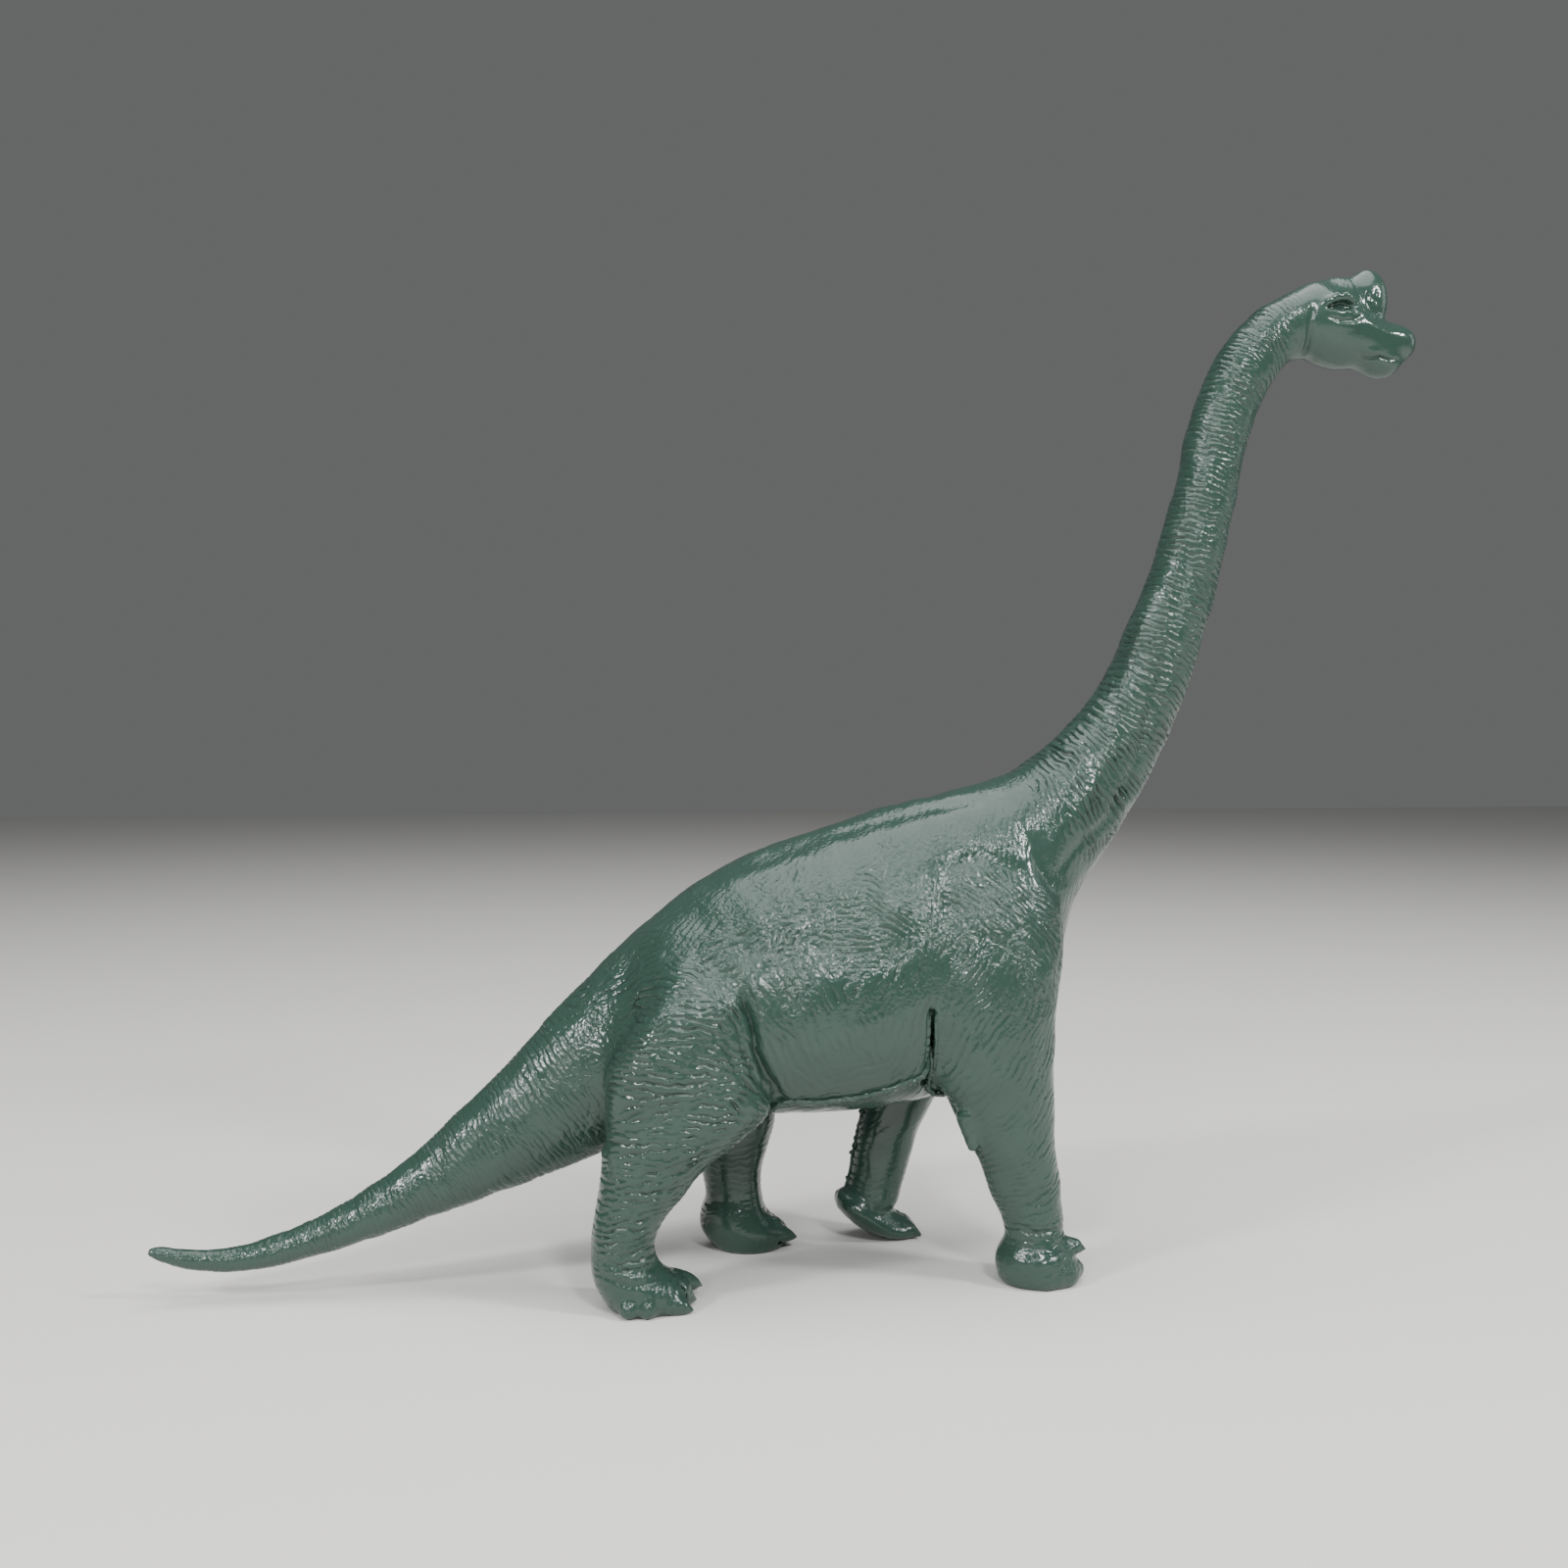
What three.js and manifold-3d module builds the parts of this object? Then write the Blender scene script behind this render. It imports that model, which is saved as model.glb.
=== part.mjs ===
// A long-necked, plant-eating dinosaur: a moulded toy figure about 300 mm tall and 372 mm long.
// Millimetres. +X points out of the snout, +Y to the figure's left, +Z up, soles on z = 0.
// The hollow torso takes the neck with the head, the tail, four pegged legs and a belly panel.
import * as THREE from "three";
import { mergeVertices } from "three/addons/utils/BufferGeometryUtils.js";
import Module from "manifold-3d";

const wasm = await Module();
wasm.setup();

// Fits
const wall = 3;
const seamGap = 0.3;
const cutOverrun = 2;

// Torso: its centre line climbs from the tail root to the neck root
const tailRootHeight = 58;
const torsoLength = 142;
const torsoRise = 76.4;
const torsoDepth = 86;
const torsoWidth = 68;
const hipShare = 0.1655;
const shoulderShare = 0.8134;

// Belly panel: a round-ended lid under the torso, with a stepped edge
const bellyLength = 92;
const bellyWidth = 48;
const bellyLedge = 3.5;

// Tail
const tailLength = 119.5;
const tailDrop = 46.4;
const tailRootDepth = 42.4;
const tailRootWidth = 32;
const tailSeamSetback = 2;
const tailSpigotLength = 9;

// Neck
const neckReach = 72.5;
const neckRise = 145.5;
const neckRootDepth = 36.4;
const neckRootWidth = 32.4;
const neckSpigotLength = 9;

// Head
const headLength = 37.4;
const headDepth = 24.4;
const headWidth = 20;
const crestLength = 14.4;
const crestWidth = 10.4;
const crestHeight = 19.8;
const crestRise = 8.3;
const crestSetback = 16.1;
const crestSlopeLength = 20;
const crestSlopeWidth = 11;
const crestSlopeHeight = 16;
const crestSlopeRise = 7.8;
const crestSlopeSetback = 23.1;
const eyeDiameter = 4.6;
const eyeRise = 4.7;
const eyeSetback = 26.1;
const browLength = 10;
const browThickness = 3;
const mouthLength = 11;
const mouthCut = 6.6;
const mouthGap = 0.9;
const mouthSpread = 13.2;
const mouthDrop = 11;
const mouthSetback = 15.1;
const mouthTilt = 4;

// Hind legs: the right one stands back, the left one is swung forward
const hindLegHeight = 97.6;
const hindLegLength = 49;
const hindLegWidth = 32;
const hindInset = 20;
const hindTrack = torsoWidth - hindInset;
const hindClawLength = 10;
const hindClawWidth = 5;
const hindClawHeight = 5.6;

// Fore legs: the right one stands, the left one trails on the tip of its toes
const foreLegHeight = 114.6;
const foreLegLength = 36;
const foreLegWidth = 29;
const foreInset = 24;
const foreTrack = torsoWidth - foreInset;
const foreClawLength = 8.5;
const foreClawWidth = 4.4;
const foreClawHeight = 5;
const nailLength = 5;
const nailWidth = 4.6;
const nailHeight = 4;
const trailingFootLength = 25.3;
const trailingFootDrop = 12.5;
const trailingFootDepth = 10.8;
const trailingFootWidth = 18.6;
const trailingToeHeight = 1.5;
const toeLift = 0.3;

// Leg pegs: each one goes through the torso wall
const pegDiameter = 13;
const pegReach = 3;
const hipPegHeight = 76.6;
const shoulderPegHeight = 90.6;

// Facets
const bodySides = 24;
const bodySteps = 2;
const legSides = 16;
const legSteps = 2;
const hollowSteps = 2;
const hollowRowsBeyond = 3;
const roundSides = 24;
const smallSides = 12;
const smallRings = 6;

// Sections: how much fuller the underside is than the back
const torsoSagShare = 0.2;
const tailSagShare = 0.06;
const neckSagShare = -0.08;
const headSagShare = -0.06;
const footSagShare = 0.25;
const chestStartShare = 0.6;

// Rows of a form: [along, rise, depth, width, lean as a share of a right angle]
const tailRowShares = [
  [1, -0.931, 0.042, 0.056, -0.2],
  [0.978, -0.944, 0.085, 0.109, -0.17],
  [0.937, -0.974, 0.111, 0.141, -0.12],
  [0.874, -1, 0.139, 0.178, -0.05],
  [0.808, -1, 0.163, 0.209, 0.04],
  [0.743, -0.976, 0.191, 0.247, 0.13],
  [0.678, -0.933, 0.212, 0.278, 0.18],
  [0.612, -0.881, 0.241, 0.319, 0.23],
  [0.544, -0.81, 0.283, 0.369, 0.27],
  [0.477, -0.733, 0.337, 0.425, 0.29],
  [0.408, -0.644, 0.396, 0.487, 0.33],
  [0.339, -0.554, 0.481, 0.556, 0.35],
  [0.273, -0.45, 0.575, 0.625, 0.36],
  [0.203, -0.347, 0.679, 0.7, 0.37],
  [0.134, -0.237, 0.778, 0.781, 0.37],
  [0.066, -0.123, 0.887, 0.875, 0.37],
];
const tailRootLeanShare = 0.34;
const torsoRowShares = [
  [0.055, 0.08, 0.558, 0.588, 0.22],
  [0.135, 0.182, 0.667, 0.753, 0.12],
  [0.221, 0.267, 0.772, 0.874, 0.06],
  [0.327, 0.329, 0.863, 0.959, 0.05],
  [0.442, 0.365, 0.933, 1, 0.06],
  [0.549, 0.399, 0.977, 1, 0.08],
  [0.644, 0.442, 0.995, 0.956, 0.12],
  [0.724, 0.491, 0.977, 0.882, 0.16],
  [0.795, 0.551, 0.921, 0.803, 0.2],
  [0.851, 0.63, 0.837, 0.724, 0.23],
  [0.887, 0.716, 0.716, 0.647, 0.24],
  [0.917, 0.802, 0.598, 0.576, 0.24],
  [0.95, 0.893, 0.495, 0.521, 0.26],
];
const neckRootLeanShare = 0.33;
const neckRowShares = [
  [0.083, 0.049, 0.896, 0.84, 0.44],
  [0.212, 0.137, 0.764, 0.728, 0.62],
  [0.328, 0.238, 0.67, 0.667, 0.7],
  [0.414, 0.344, 0.626, 0.623, 0.78],
  [0.49, 0.447, 0.571, 0.586, 0.8],
  [0.542, 0.544, 0.538, 0.562, 0.83],
  [0.597, 0.647, 0.511, 0.537, 0.84],
  [0.637, 0.744, 0.511, 0.519, 0.82],
  [0.692, 0.832, 0.505, 0.519, 0.76],
  [0.774, 0.911, 0.516, 0.531, 0.59],
  [0.883, 0.972, 0.505, 0.543, 0.4],
  [1, 1, 0.56, 0.6, 0.18],
];
const headRowShares = [
  [0.16, 0.037, 1, 1, 0.04],
  [0.35, -0.045, 0.951, 0.96, 0],
  [0.508, -0.111, 0.795, 0.88, 0],
  [0.66, -0.209, 0.738, 0.76, 0],
  [0.79, -0.234, 0.623, 0.66, 0],
  [0.9, -0.193, 0.418, 0.52, 0],
  [0.97, -0.16, 0.246, 0.34, 0],
  [1, -0.152, 0.066, 0.1, 0],
];
const trailingFootRowShares = [
  [0, 1, 0.2, 0.3, -0.4],
  [0.1, 0.9, 0.75, 0.78, -0.4],
  [0.24, 0.73, 0.93, 0.97, -0.4],
  [0.4, 0.49, 1, 1, -0.4],
  [0.56, 0.28, 0.93, 0.98, -0.38],
  [0.72, 0.15, 0.76, 0.92, -0.3],
  [0.87, 0.09, 0.55, 0.74, -0.15],
  [1, 0, 0.15, 0.3, -0.1],
];

// Rows of a leg from the top down: [height, forward, out, length, width]
const standingHindShares = [
  [1, 0.01, 0.5, 0.367, 0.25],
  [0.939, 0, 0.708, 0.694, 0.562],
  [0.846, -0.01, 0.875, 0.829, 0.844],
  [0.734, -0.01, 0.938, 0.878, 0.969],
  [0.631, 0, 0.979, 0.918, 0.969],
  [0.549, 0.012, 1, 0.963, 0.906],
  [0.477, -0.02, 1.021, 0.816, 0.844],
  [0.395, -0.072, 1.021, 0.596, 0.775],
  [0.314, -0.113, 1.021, 0.473, 0.675],
  [0.238, -0.151, 1.021, 0.38, 0.6],
  [0.172, -0.162, 1.012, 0.347, 0.575],
  [0.115, -0.15, 1, 0.4, 0.625],
  [0.064, -0.108, 1, 0.52, 0.688],
  [0.023, -0.097, 1, 0.469, 0.656],
  [0, -0.097, 1, 0.408, 0.575],
];
const swungHindShares = [
  [1, 0.031, 0.5, 0.367, 0.25],
  [0.939, 0.02, 0.708, 0.694, 0.562],
  [0.846, 0.02, 0.875, 0.829, 0.844],
  [0.734, 0.041, 0.938, 0.878, 0.969],
  [0.631, 0.082, 0.979, 0.878, 0.969],
  [0.549, 0.133, 1, 0.837, 0.906],
  [0.477, 0.174, 1.021, 0.694, 0.844],
  [0.395, 0.205, 1.021, 0.571, 0.775],
  [0.314, 0.212, 1.021, 0.449, 0.675],
  [0.238, 0.214, 1.021, 0.376, 0.6],
  [0.172, 0.219, 1.012, 0.351, 0.575],
  [0.115, 0.22, 1, 0.416, 0.625],
  [0.064, 0.25, 1, 0.531, 0.688],
  [0.023, 0.266, 1, 0.49, 0.656],
  [0, 0.266, 1, 0.408, 0.575],
];
const standingForeShares = [
  [1, 0.017, 0.591, 0.389, 0.379],
  [0.948, 0.017, 0.773, 0.694, 0.69],
  [0.869, 0.009, 0.864, 0.833, 0.897],
  [0.773, -0.004, 0.932, 0.917, 1],
  [0.668, -0.022, 0.977, 0.972, 1],
  [0.564, -0.031, 1, 1, 0.931],
  [0.511, -0.026, 1, 0.972, 0.897],
  [0.459, -0.006, 1, 0.856, 0.828],
  [0.372, 0.015, 1, 0.722, 0.759],
  [0.311, 0.035, 1, 0.633, 0.69],
  [0.258, 0.05, 1, 0.594, 0.641],
  [0.215, 0.059, 1, 0.556, 0.614],
  [0.167, 0.074, 1, 0.5, 0.593],
  [0.115, 0.081, 1, 0.478, 0.593],
  [0.068, 0.083, 1, 0.611, 0.71],
  [0.033, 0.094, 1, 0.683, 0.759],
  [0.01, 0.094, 1, 0.644, 0.71],
  [0, 0.094, 1, 0.572, 0.621],
];
const trailingForeShares = [
  [1, 0.017, 0.591, 0.389, 0.379],
  [0.948, 0.017, 0.773, 0.694, 0.69],
  [0.869, 0.009, 0.864, 0.833, 0.897],
  [0.773, -0.009, 0.932, 0.917, 1],
  [0.668, -0.044, 0.977, 0.972, 1],
  [0.564, -0.083, 1.023, 0.861, 0.931],
  [0.476, -0.118, 1.091, 0.694, 0.793],
  [0.407, -0.148, 1.136, 0.611, 0.724],
  [0.337, -0.176, 1.168, 0.567, 0.676],
  [0.284, -0.195, 1.182, 0.533, 0.641],
  [0.232, -0.207, 1.191, 0.522, 0.621],
  [0.188, -0.216, 1.2, 0.494, 0.607],
  [0.145, -0.228, 1.205, 0.478, 0.593],
  [0.096, -0.236, 1.209, 0.444, 0.579],
  [0.07, -0.236, 1.209, 0.278, 0.345],
];
const trailingHeelShare = -0.331;

// Toes: turns from straight ahead towards the figure's middle, in degrees
const hindClawTurns = [26, 0, -34];
const hindNailTurns = [-56, -84];
const foreClawTurns = [18];
const foreNailTurns = [6, -24, -54];
const clawSeatShare = 0.86;
const clawDroop = 14;
const foreClawRiseShare = 1.7;

// Solids
function solidOf(geometry) {
  const bare = geometry.clone();
  bare.deleteAttribute("normal");
  bare.deleteAttribute("uv");
  const merged = mergeVertices(bare);
  return new wasm.Manifold(
    new wasm.Mesh({
      numProp: 3,
      vertProperties: merged.attributes.position.array,
      triVerts: new Uint32Array(merged.index.array),
    }),
  );
}

function placed(geometry, x, y, z) {
  return geometry.translate(x, y, z);
}

function joined(solids) {
  return solids.reduce((whole, solid) => whole.add(solid));
}

// The value a share t of the way from b to c on a smooth curve through a, b, c and d.
function smooth(a, b, c, d, t) {
  const cubic = 3 * (b - c) + d - a;
  const square = 2 * a - 5 * b + 4 * c - d;
  return b + (t * (c - a + t * (square + t * cubic))) / 2;
}

function rowAt(rows, index) {
  const last = rows.length - 1;
  const start = Math.min(Math.floor(index), last - 1);
  const [a, b, c, d] = [-1, 0, 1, 2].map((k) => rows[THREE.MathUtils.clamp(start + k, 0, last)]);
  return b.map((value, column) => smooth(a[column], value, c[column], d[column], index - start));
}

function refined(rows, steps) {
  const count = (rows.length - 1) * steps + 1;
  return Array.from({ length: count }, (_, i) => rowAt(rows, i / steps));
}

// A ring about a centre: front is its depth direction, across is +Y.
function ringPoints(centre, front, halfDepth, halfWidth, sag, sides) {
  return Array.from({ length: sides }, (_, k) => {
    const turn = (k / sides) * 2 * Math.PI;
    const bulge = 1 - sag * Math.cos(turn);
    const point = centre.clone().addScaledVector(front, halfDepth * Math.cos(turn));
    point.y += halfWidth * bulge * Math.sin(turn);
    return point;
  });
}

// A closed skin over rings of as many points each, with a flat fan over each end.
function skin(rings) {
  const sides = rings[0].length;
  const points = rings.flat();
  const ends = [rings[0], rings[rings.length - 1]];
  ends.forEach((ring) => {
    const middle = new THREE.Vector3();
    ring.forEach((point) => middle.addScaledVector(point, 1 / sides));
    points.push(middle);
  });
  const [firstEnd, lastEnd] = [points.length - 2, points.length - 1];
  const lastRing = (rings.length - 1) * sides;
  const index = [];
  for (let k = 0; k < sides; k++) {
    const next = (k + 1) % sides;
    index.push(firstEnd, k, next);
    index.push(lastEnd, lastRing + next, lastRing + k);
    for (let i = 0; i < lastRing; i += sides) {
      index.push(i + k, i + sides + k, i + sides + next);
      index.push(i + k, i + sides + next, i + next);
    }
  }
  const geometry = new THREE.BufferGeometry().setFromPoints(points);
  geometry.setIndex(index);
  return geometry;
}

// A form along a line in the XZ plane. Rows are [x, z, depth, width, sag, lean].
function form(rows, steps, sides, inset = 0) {
  const rings = refined(rows, steps).map(([x, z, depth, width, sag, lean]) => {
    const turn = (lean * Math.PI) / 2;
    const front = new THREE.Vector3(-Math.sin(turn), 0, Math.cos(turn));
    const centre = new THREE.Vector3(x, 0, z);
    return ringPoints(centre, front, depth / 2 - inset, width / 2 - inset, sag, sides);
  });
  return skin(rings);
}

function ball(length, width, height) {
  return new THREE.SphereGeometry(1, smallSides, smallRings).scale(length / 2, width / 2, height / 2);
}

// The centre line of the whole figure
const tailRoot = { x: -torsoLength / 2, z: tailRootHeight };
const neckRoot = { x: torsoLength / 2, z: tailRootHeight + torsoRise };
const headRoot = { x: neckRoot.x + neckReach, z: neckRoot.z + neckRise };
const tailRows = tailRowShares.map(([along, rise, depth, width, lean]) => [
  tailRoot.x - along * tailLength,
  tailRoot.z + rise * tailDrop,
  depth * tailRootDepth,
  width * tailRootWidth,
  tailSagShare,
  lean,
]);
const torsoRows = torsoRowShares.map(([along, rise, depth, width, lean]) => [
  tailRoot.x + along * torsoLength,
  tailRoot.z + rise * torsoRise,
  depth * torsoDepth,
  width * torsoWidth,
  THREE.MathUtils.lerp(torsoSagShare, neckSagShare, THREE.MathUtils.smoothstep(along, chestStartShare, 1)),
  lean,
]);
const neckRows = neckRowShares.map(([reach, rise, depth, width, lean]) => [
  neckRoot.x + reach * neckReach,
  neckRoot.z + rise * neckRise,
  depth * neckRootDepth,
  width * neckRootWidth,
  neckSagShare,
  lean,
]);
const headRows = headRowShares.map(([along, rise, depth, width, lean]) => [
  headRoot.x + along * headLength,
  headRoot.z + rise * headDepth,
  depth * headDepth,
  width * headWidth,
  headSagShare,
  lean,
]);
const bodyRows = [
  ...tailRows,
  [tailRoot.x, tailRoot.z, tailRootDepth, tailRootWidth, tailSagShare, tailRootLeanShare],
  ...torsoRows,
  [neckRoot.x, neckRoot.z, neckRootDepth, neckRootWidth, neckSagShare, neckRootLeanShare],
  ...neckRows,
  ...headRows,
];
const snoutX = headRoot.x + headLength;

function body(inset) {
  return solidOf(form(bodyRows, bodySteps, bodySides, inset));
}

// The torso's form within its skin, run on into the tail and the neck.
function innerBody(inset) {
  const first = tailRows.length - hollowRowsBeyond;
  const end = bodyRows.indexOf(neckRows[0]) + hollowRowsBeyond;
  return solidOf(form(bodyRows.slice(first, end), hollowSteps, bodySides, inset));
}

const outer = body(0);
const inner = innerBody(wall);
const middle = innerBody(wall / 2);
const grown = body(-seamGap);

// Cutting blocks
const blockSize = 2 * (tailLength + torsoLength + neckRise);

// The half of space ahead of an upright seam plane that leans back by a share of a right angle.
function ahead(x, z, lean) {
  const block = new THREE.BoxGeometry(blockSize, blockSize, blockSize);
  block.translate(blockSize / 2, 0, 0);
  block.rotateY((-lean * Math.PI) / 2);
  return solidOf(placed(block, x, 0, z));
}

const aboveGround = solidOf(
  placed(new THREE.BoxGeometry(blockSize, blockSize, blockSize), 0, 0, blockSize / 2),
);

// Neck seam: halfway between the last row of the torso and the neck root
const neckSeamIndex = tailRows.length + torsoRows.length + 1 / 2;
const [neckSeamX, neckSeamZ, , , , neckSeamLean] = rowAt(bodyRows, neckSeamIndex);
const aheadOfNeckSeam = (shift) => ahead(neckSeamX + shift, neckSeamZ, neckSeamLean);

// Tail seam: upright, in the groove behind the thighs
const tailSeamX = tailRoot.x + tailSeamSetback;
const aheadOfTailSeam = (shift) => ahead(tailSeamX + shift, tailRoot.z, 0);

const hipX = tailRoot.x + hipShare * torsoLength;
const shoulderX = tailRoot.x + shoulderShare * torsoLength;
const bellyX = (hipX + shoulderX) / 2;
const hip = { x: hipX, z: hipPegHeight, track: hindTrack };
const shoulder = { x: shoulderX, z: shoulderPegHeight, track: foreTrack };

// A block with round ends, from under the belly up to the middle of the hollow.
function bellyBlock(inset) {
  const radius = bellyWidth / 2 - inset;
  const straight = (bellyLength - bellyWidth) / 2;
  const outline = new THREE.Shape();
  outline.absarc(straight, 0, radius, -Math.PI / 2, Math.PI / 2);
  outline.absarc(-straight, 0, radius, Math.PI / 2, (3 * Math.PI) / 2);
  outline.closePath();
  const options = { depth: tailRoot.z + cutOverrun, bevelEnabled: false, curveSegments: roundSides / 2 };
  return solidOf(placed(new THREE.ExtrudeGeometry(outline, options), bellyX, 0, 0));
}

// A peg, or its hole, across the torso wall from the middle of a leg to the hollow.
function peg(joint, side, diameter, extra) {
  const innerEnd = pegStart(joint.x) - extra;
  const outerEnd = (joint.track + pegDiameter) / 2 + extra;
  const length = outerEnd - innerEnd;
  const bar = new THREE.CylinderGeometry(diameter / 2, diameter / 2, length, roundSides);
  return solidOf(placed(bar, joint.x, side * (innerEnd + length / 2), joint.z));
}

// How far from the middle a peg ends: just inside the wall of the hollow.
function pegStart(x) {
  const row = torsoRows.reduce((best, r) => (Math.abs(r[0] - x) < Math.abs(best[0] - x) ? r : best));
  return row[3] / 2 - 2 * wall - pegReach;
}

function makeTorsoShell() {
  const between = outer.intersect(aheadOfTailSeam(seamGap / 2)).subtract(aheadOfNeckSeam(-seamGap / 2));
  const rebate = bellyBlock(0).subtract(middle);
  let shell = between.subtract(inner).subtract(rebate).subtract(bellyBlock(bellyLedge));
  [1, -1].forEach((side) => {
    shell = shell.subtract(peg(hip, side, pegDiameter + 2 * seamGap, cutOverrun));
    shell = shell.subtract(peg(shoulder, side, pegDiameter + 2 * seamGap, cutOverrun));
  });
  return shell;
}

function makeBellyPanel() {
  const lip = outer.subtract(innerBody(wall / 2 - seamGap)).intersect(bellyBlock(seamGap));
  const plug = outer.subtract(inner).intersect(bellyBlock(bellyLedge + seamGap));
  return lip.add(plug);
}

function makeTail() {
  const skinPiece = outer.subtract(aheadOfTailSeam(-seamGap / 2));
  const core = innerBody(wall + seamGap);
  const spigot = core.intersect(aheadOfTailSeam(-cutOverrun)).subtract(aheadOfTailSeam(tailSpigotLength));
  return skinPiece.add(spigot);
}

function makeHead() {
  const pieces = [];
  const crest = placed(ball(crestLength, crestWidth, crestHeight), snoutX - crestSetback, 0, headRoot.z + crestRise);
  const slope = ball(crestSlopeLength, crestSlopeWidth, crestSlopeHeight);
  pieces.push(solidOf(crest));
  pieces.push(solidOf(placed(slope, snoutX - crestSlopeSetback, 0, headRoot.z + crestSlopeRise)));
  [1, -1].forEach((side) => {
    const eyeX = snoutX - eyeSetback;
    const eyeZ = headRoot.z + eyeRise;
    const eyeY = (side * (headWidth - eyeDiameter / 2)) / 2;
    pieces.push(solidOf(placed(ball(eyeDiameter, eyeDiameter, eyeDiameter), eyeX, eyeY, eyeZ)));
    const browZ = eyeZ + eyeDiameter / 2;
    const browY = eyeY - (side * browThickness) / 2;
    pieces.push(solidOf(placed(ball(browLength, 2 * browThickness, browThickness), eyeX, browY, browZ)));
  });
  return joined(pieces);
}

function mouthCuts() {
  const cuts = [1, -1].map((side) => {
    const slit = ball(mouthLength, mouthCut, mouthGap);
    slit.rotateY(THREE.MathUtils.degToRad(mouthTilt));
    return solidOf(placed(slit, snoutX - mouthSetback, (side * mouthSpread) / 2, headRoot.z - mouthDrop));
  });
  return joined(cuts);
}

function makeNeckAndHead() {
  const skinPiece = outer.intersect(aheadOfNeckSeam(seamGap / 2));
  const core = innerBody(wall + seamGap);
  const spigot = core.intersect(aheadOfNeckSeam(-neckSpigotLength)).subtract(aheadOfNeckSeam(cutOverrun));
  return joined([skinPiece, spigot, makeHead()]).subtract(mouthCuts());
}

// A leg's rings, from the top down to its sole.
function legRings(rows, leg) {
  return refined(rows, legSteps).map(([height, forward, out, length, width]) => {
    const centre = new THREE.Vector3(
      leg.x + forward * leg.height,
      (leg.side * out * leg.track) / 2,
      height * leg.height,
    );
    const front = new THREE.Vector3(1, 0, 0);
    return ringPoints(centre, front, (length * leg.length) / 2, (width * leg.width) / 2, 0, legSides);
  });
}

// Claws or nails set round the front of a foot whose sole row is given.
function toes(turns, row, leg, size, rise) {
  const [, forward, out, length, width] = row;
  return turns.map((turn) => {
    const toe = ball(size.length, size.width, size.height);
    toe.translate(size.length / 2, 0, 0);
    toe.rotateY(THREE.MathUtils.degToRad(clawDroop));
    const angle = THREE.MathUtils.degToRad(turn) * -leg.side;
    toe.rotateZ(angle);
    const reachX = (clawSeatShare * length * leg.length) / 2 - size.length / 2;
    const reachY = (clawSeatShare * width * leg.width) / 2 - size.length / 2;
    return solidOf(
      placed(
        toe,
        leg.x + forward * leg.height + reachX * Math.cos(angle),
        (leg.side * out * leg.track) / 2 + reachY * Math.sin(angle),
        rise,
      ),
    );
  });
}

// A leg: its form outside the torso's skin, with the peg that goes through the torso's wall.
function makeLeg(rows, leg, extras) {
  const whole = joined([solidOf(skin(legRings(rows, leg))), ...extras]);
  const pin = peg(leg.joint, leg.side, pegDiameter, 0);
  return whole.subtract(grown).add(pin).intersect(aboveGround);
}

const hindClaw = { length: hindClawLength, width: hindClawWidth, height: hindClawHeight };
const foreClaw = { length: foreClawLength, width: foreClawWidth, height: foreClawHeight };
const nail = { length: nailLength, width: nailWidth, height: nailHeight };

function makeHindLeg(side, rows) {
  const leg = {
    x: hipX,
    joint: hip,
    side,
    height: hindLegHeight,
    length: hindLegLength,
    width: hindLegWidth,
    track: hindTrack,
  };
  const foot = rows[rows.length - 2];
  const claws = toes(hindClawTurns, foot, leg, hindClaw, hindClawHeight / 2 + toeLift);
  const nails = toes(hindNailTurns, foot, leg, nail, nailHeight / 2 + toeLift);
  return makeLeg(rows, leg, [...claws, ...nails]);
}

function foreLeg(side) {
  return {
    x: shoulderX,
    joint: shoulder,
    side,
    height: foreLegHeight,
    length: foreLegLength,
    width: foreLegWidth,
    track: foreTrack,
  };
}

function makeStandingForeLeg(side) {
  const leg = foreLeg(side);
  const foot = standingForeShares[standingForeShares.length - 2];
  const claws = toes(foreClawTurns, foot, leg, foreClaw, foreClawHeight * foreClawRiseShare);
  const nails = toes(foreNailTurns, foot, leg, nail, nailHeight / 2 + toeLift);
  return makeLeg(standingForeShares, leg, [...claws, ...nails]);
}

function makeTrailingForeLeg(side) {
  const leg = foreLeg(side);
  const ankle = trailingForeShares[trailingForeShares.length - 1];
  const heelX = leg.x + trailingHeelShare * leg.height;
  const rows = trailingFootRowShares.map(([along, rise, depth, width, lean]) => [
    heelX + along * trailingFootLength,
    trailingToeHeight + rise * trailingFootDrop,
    depth * trailingFootDepth,
    width * trailingFootWidth,
    footSagShare,
    lean,
  ]);
  const foot = placed(form(rows, legSteps, legSides), 0, (side * ankle[2] * leg.track) / 2, 0);
  return makeLeg(trailingForeShares, leg, [solidOf(foot)]);
}

// Assembly
const skinColour = 0x4f7365;
const skinRoughness = 0.36;

function meshOf(name, solid) {
  const { vertProperties, triVerts, numProp } = solid.getMesh();
  const indexed = new THREE.BufferGeometry();
  indexed.setAttribute("position", new THREE.BufferAttribute(vertProperties, numProp));
  indexed.setIndex(new THREE.BufferAttribute(triVerts, 1));
  const material = new THREE.MeshStandardMaterial({
    color: skinColour,
    roughness: skinRoughness,
    metalness: 0,
  });
  const mesh = new THREE.Mesh(indexed, material);
  mesh.geometry.computeVertexNormals();
  mesh.name = name;
  return mesh;
}

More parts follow.
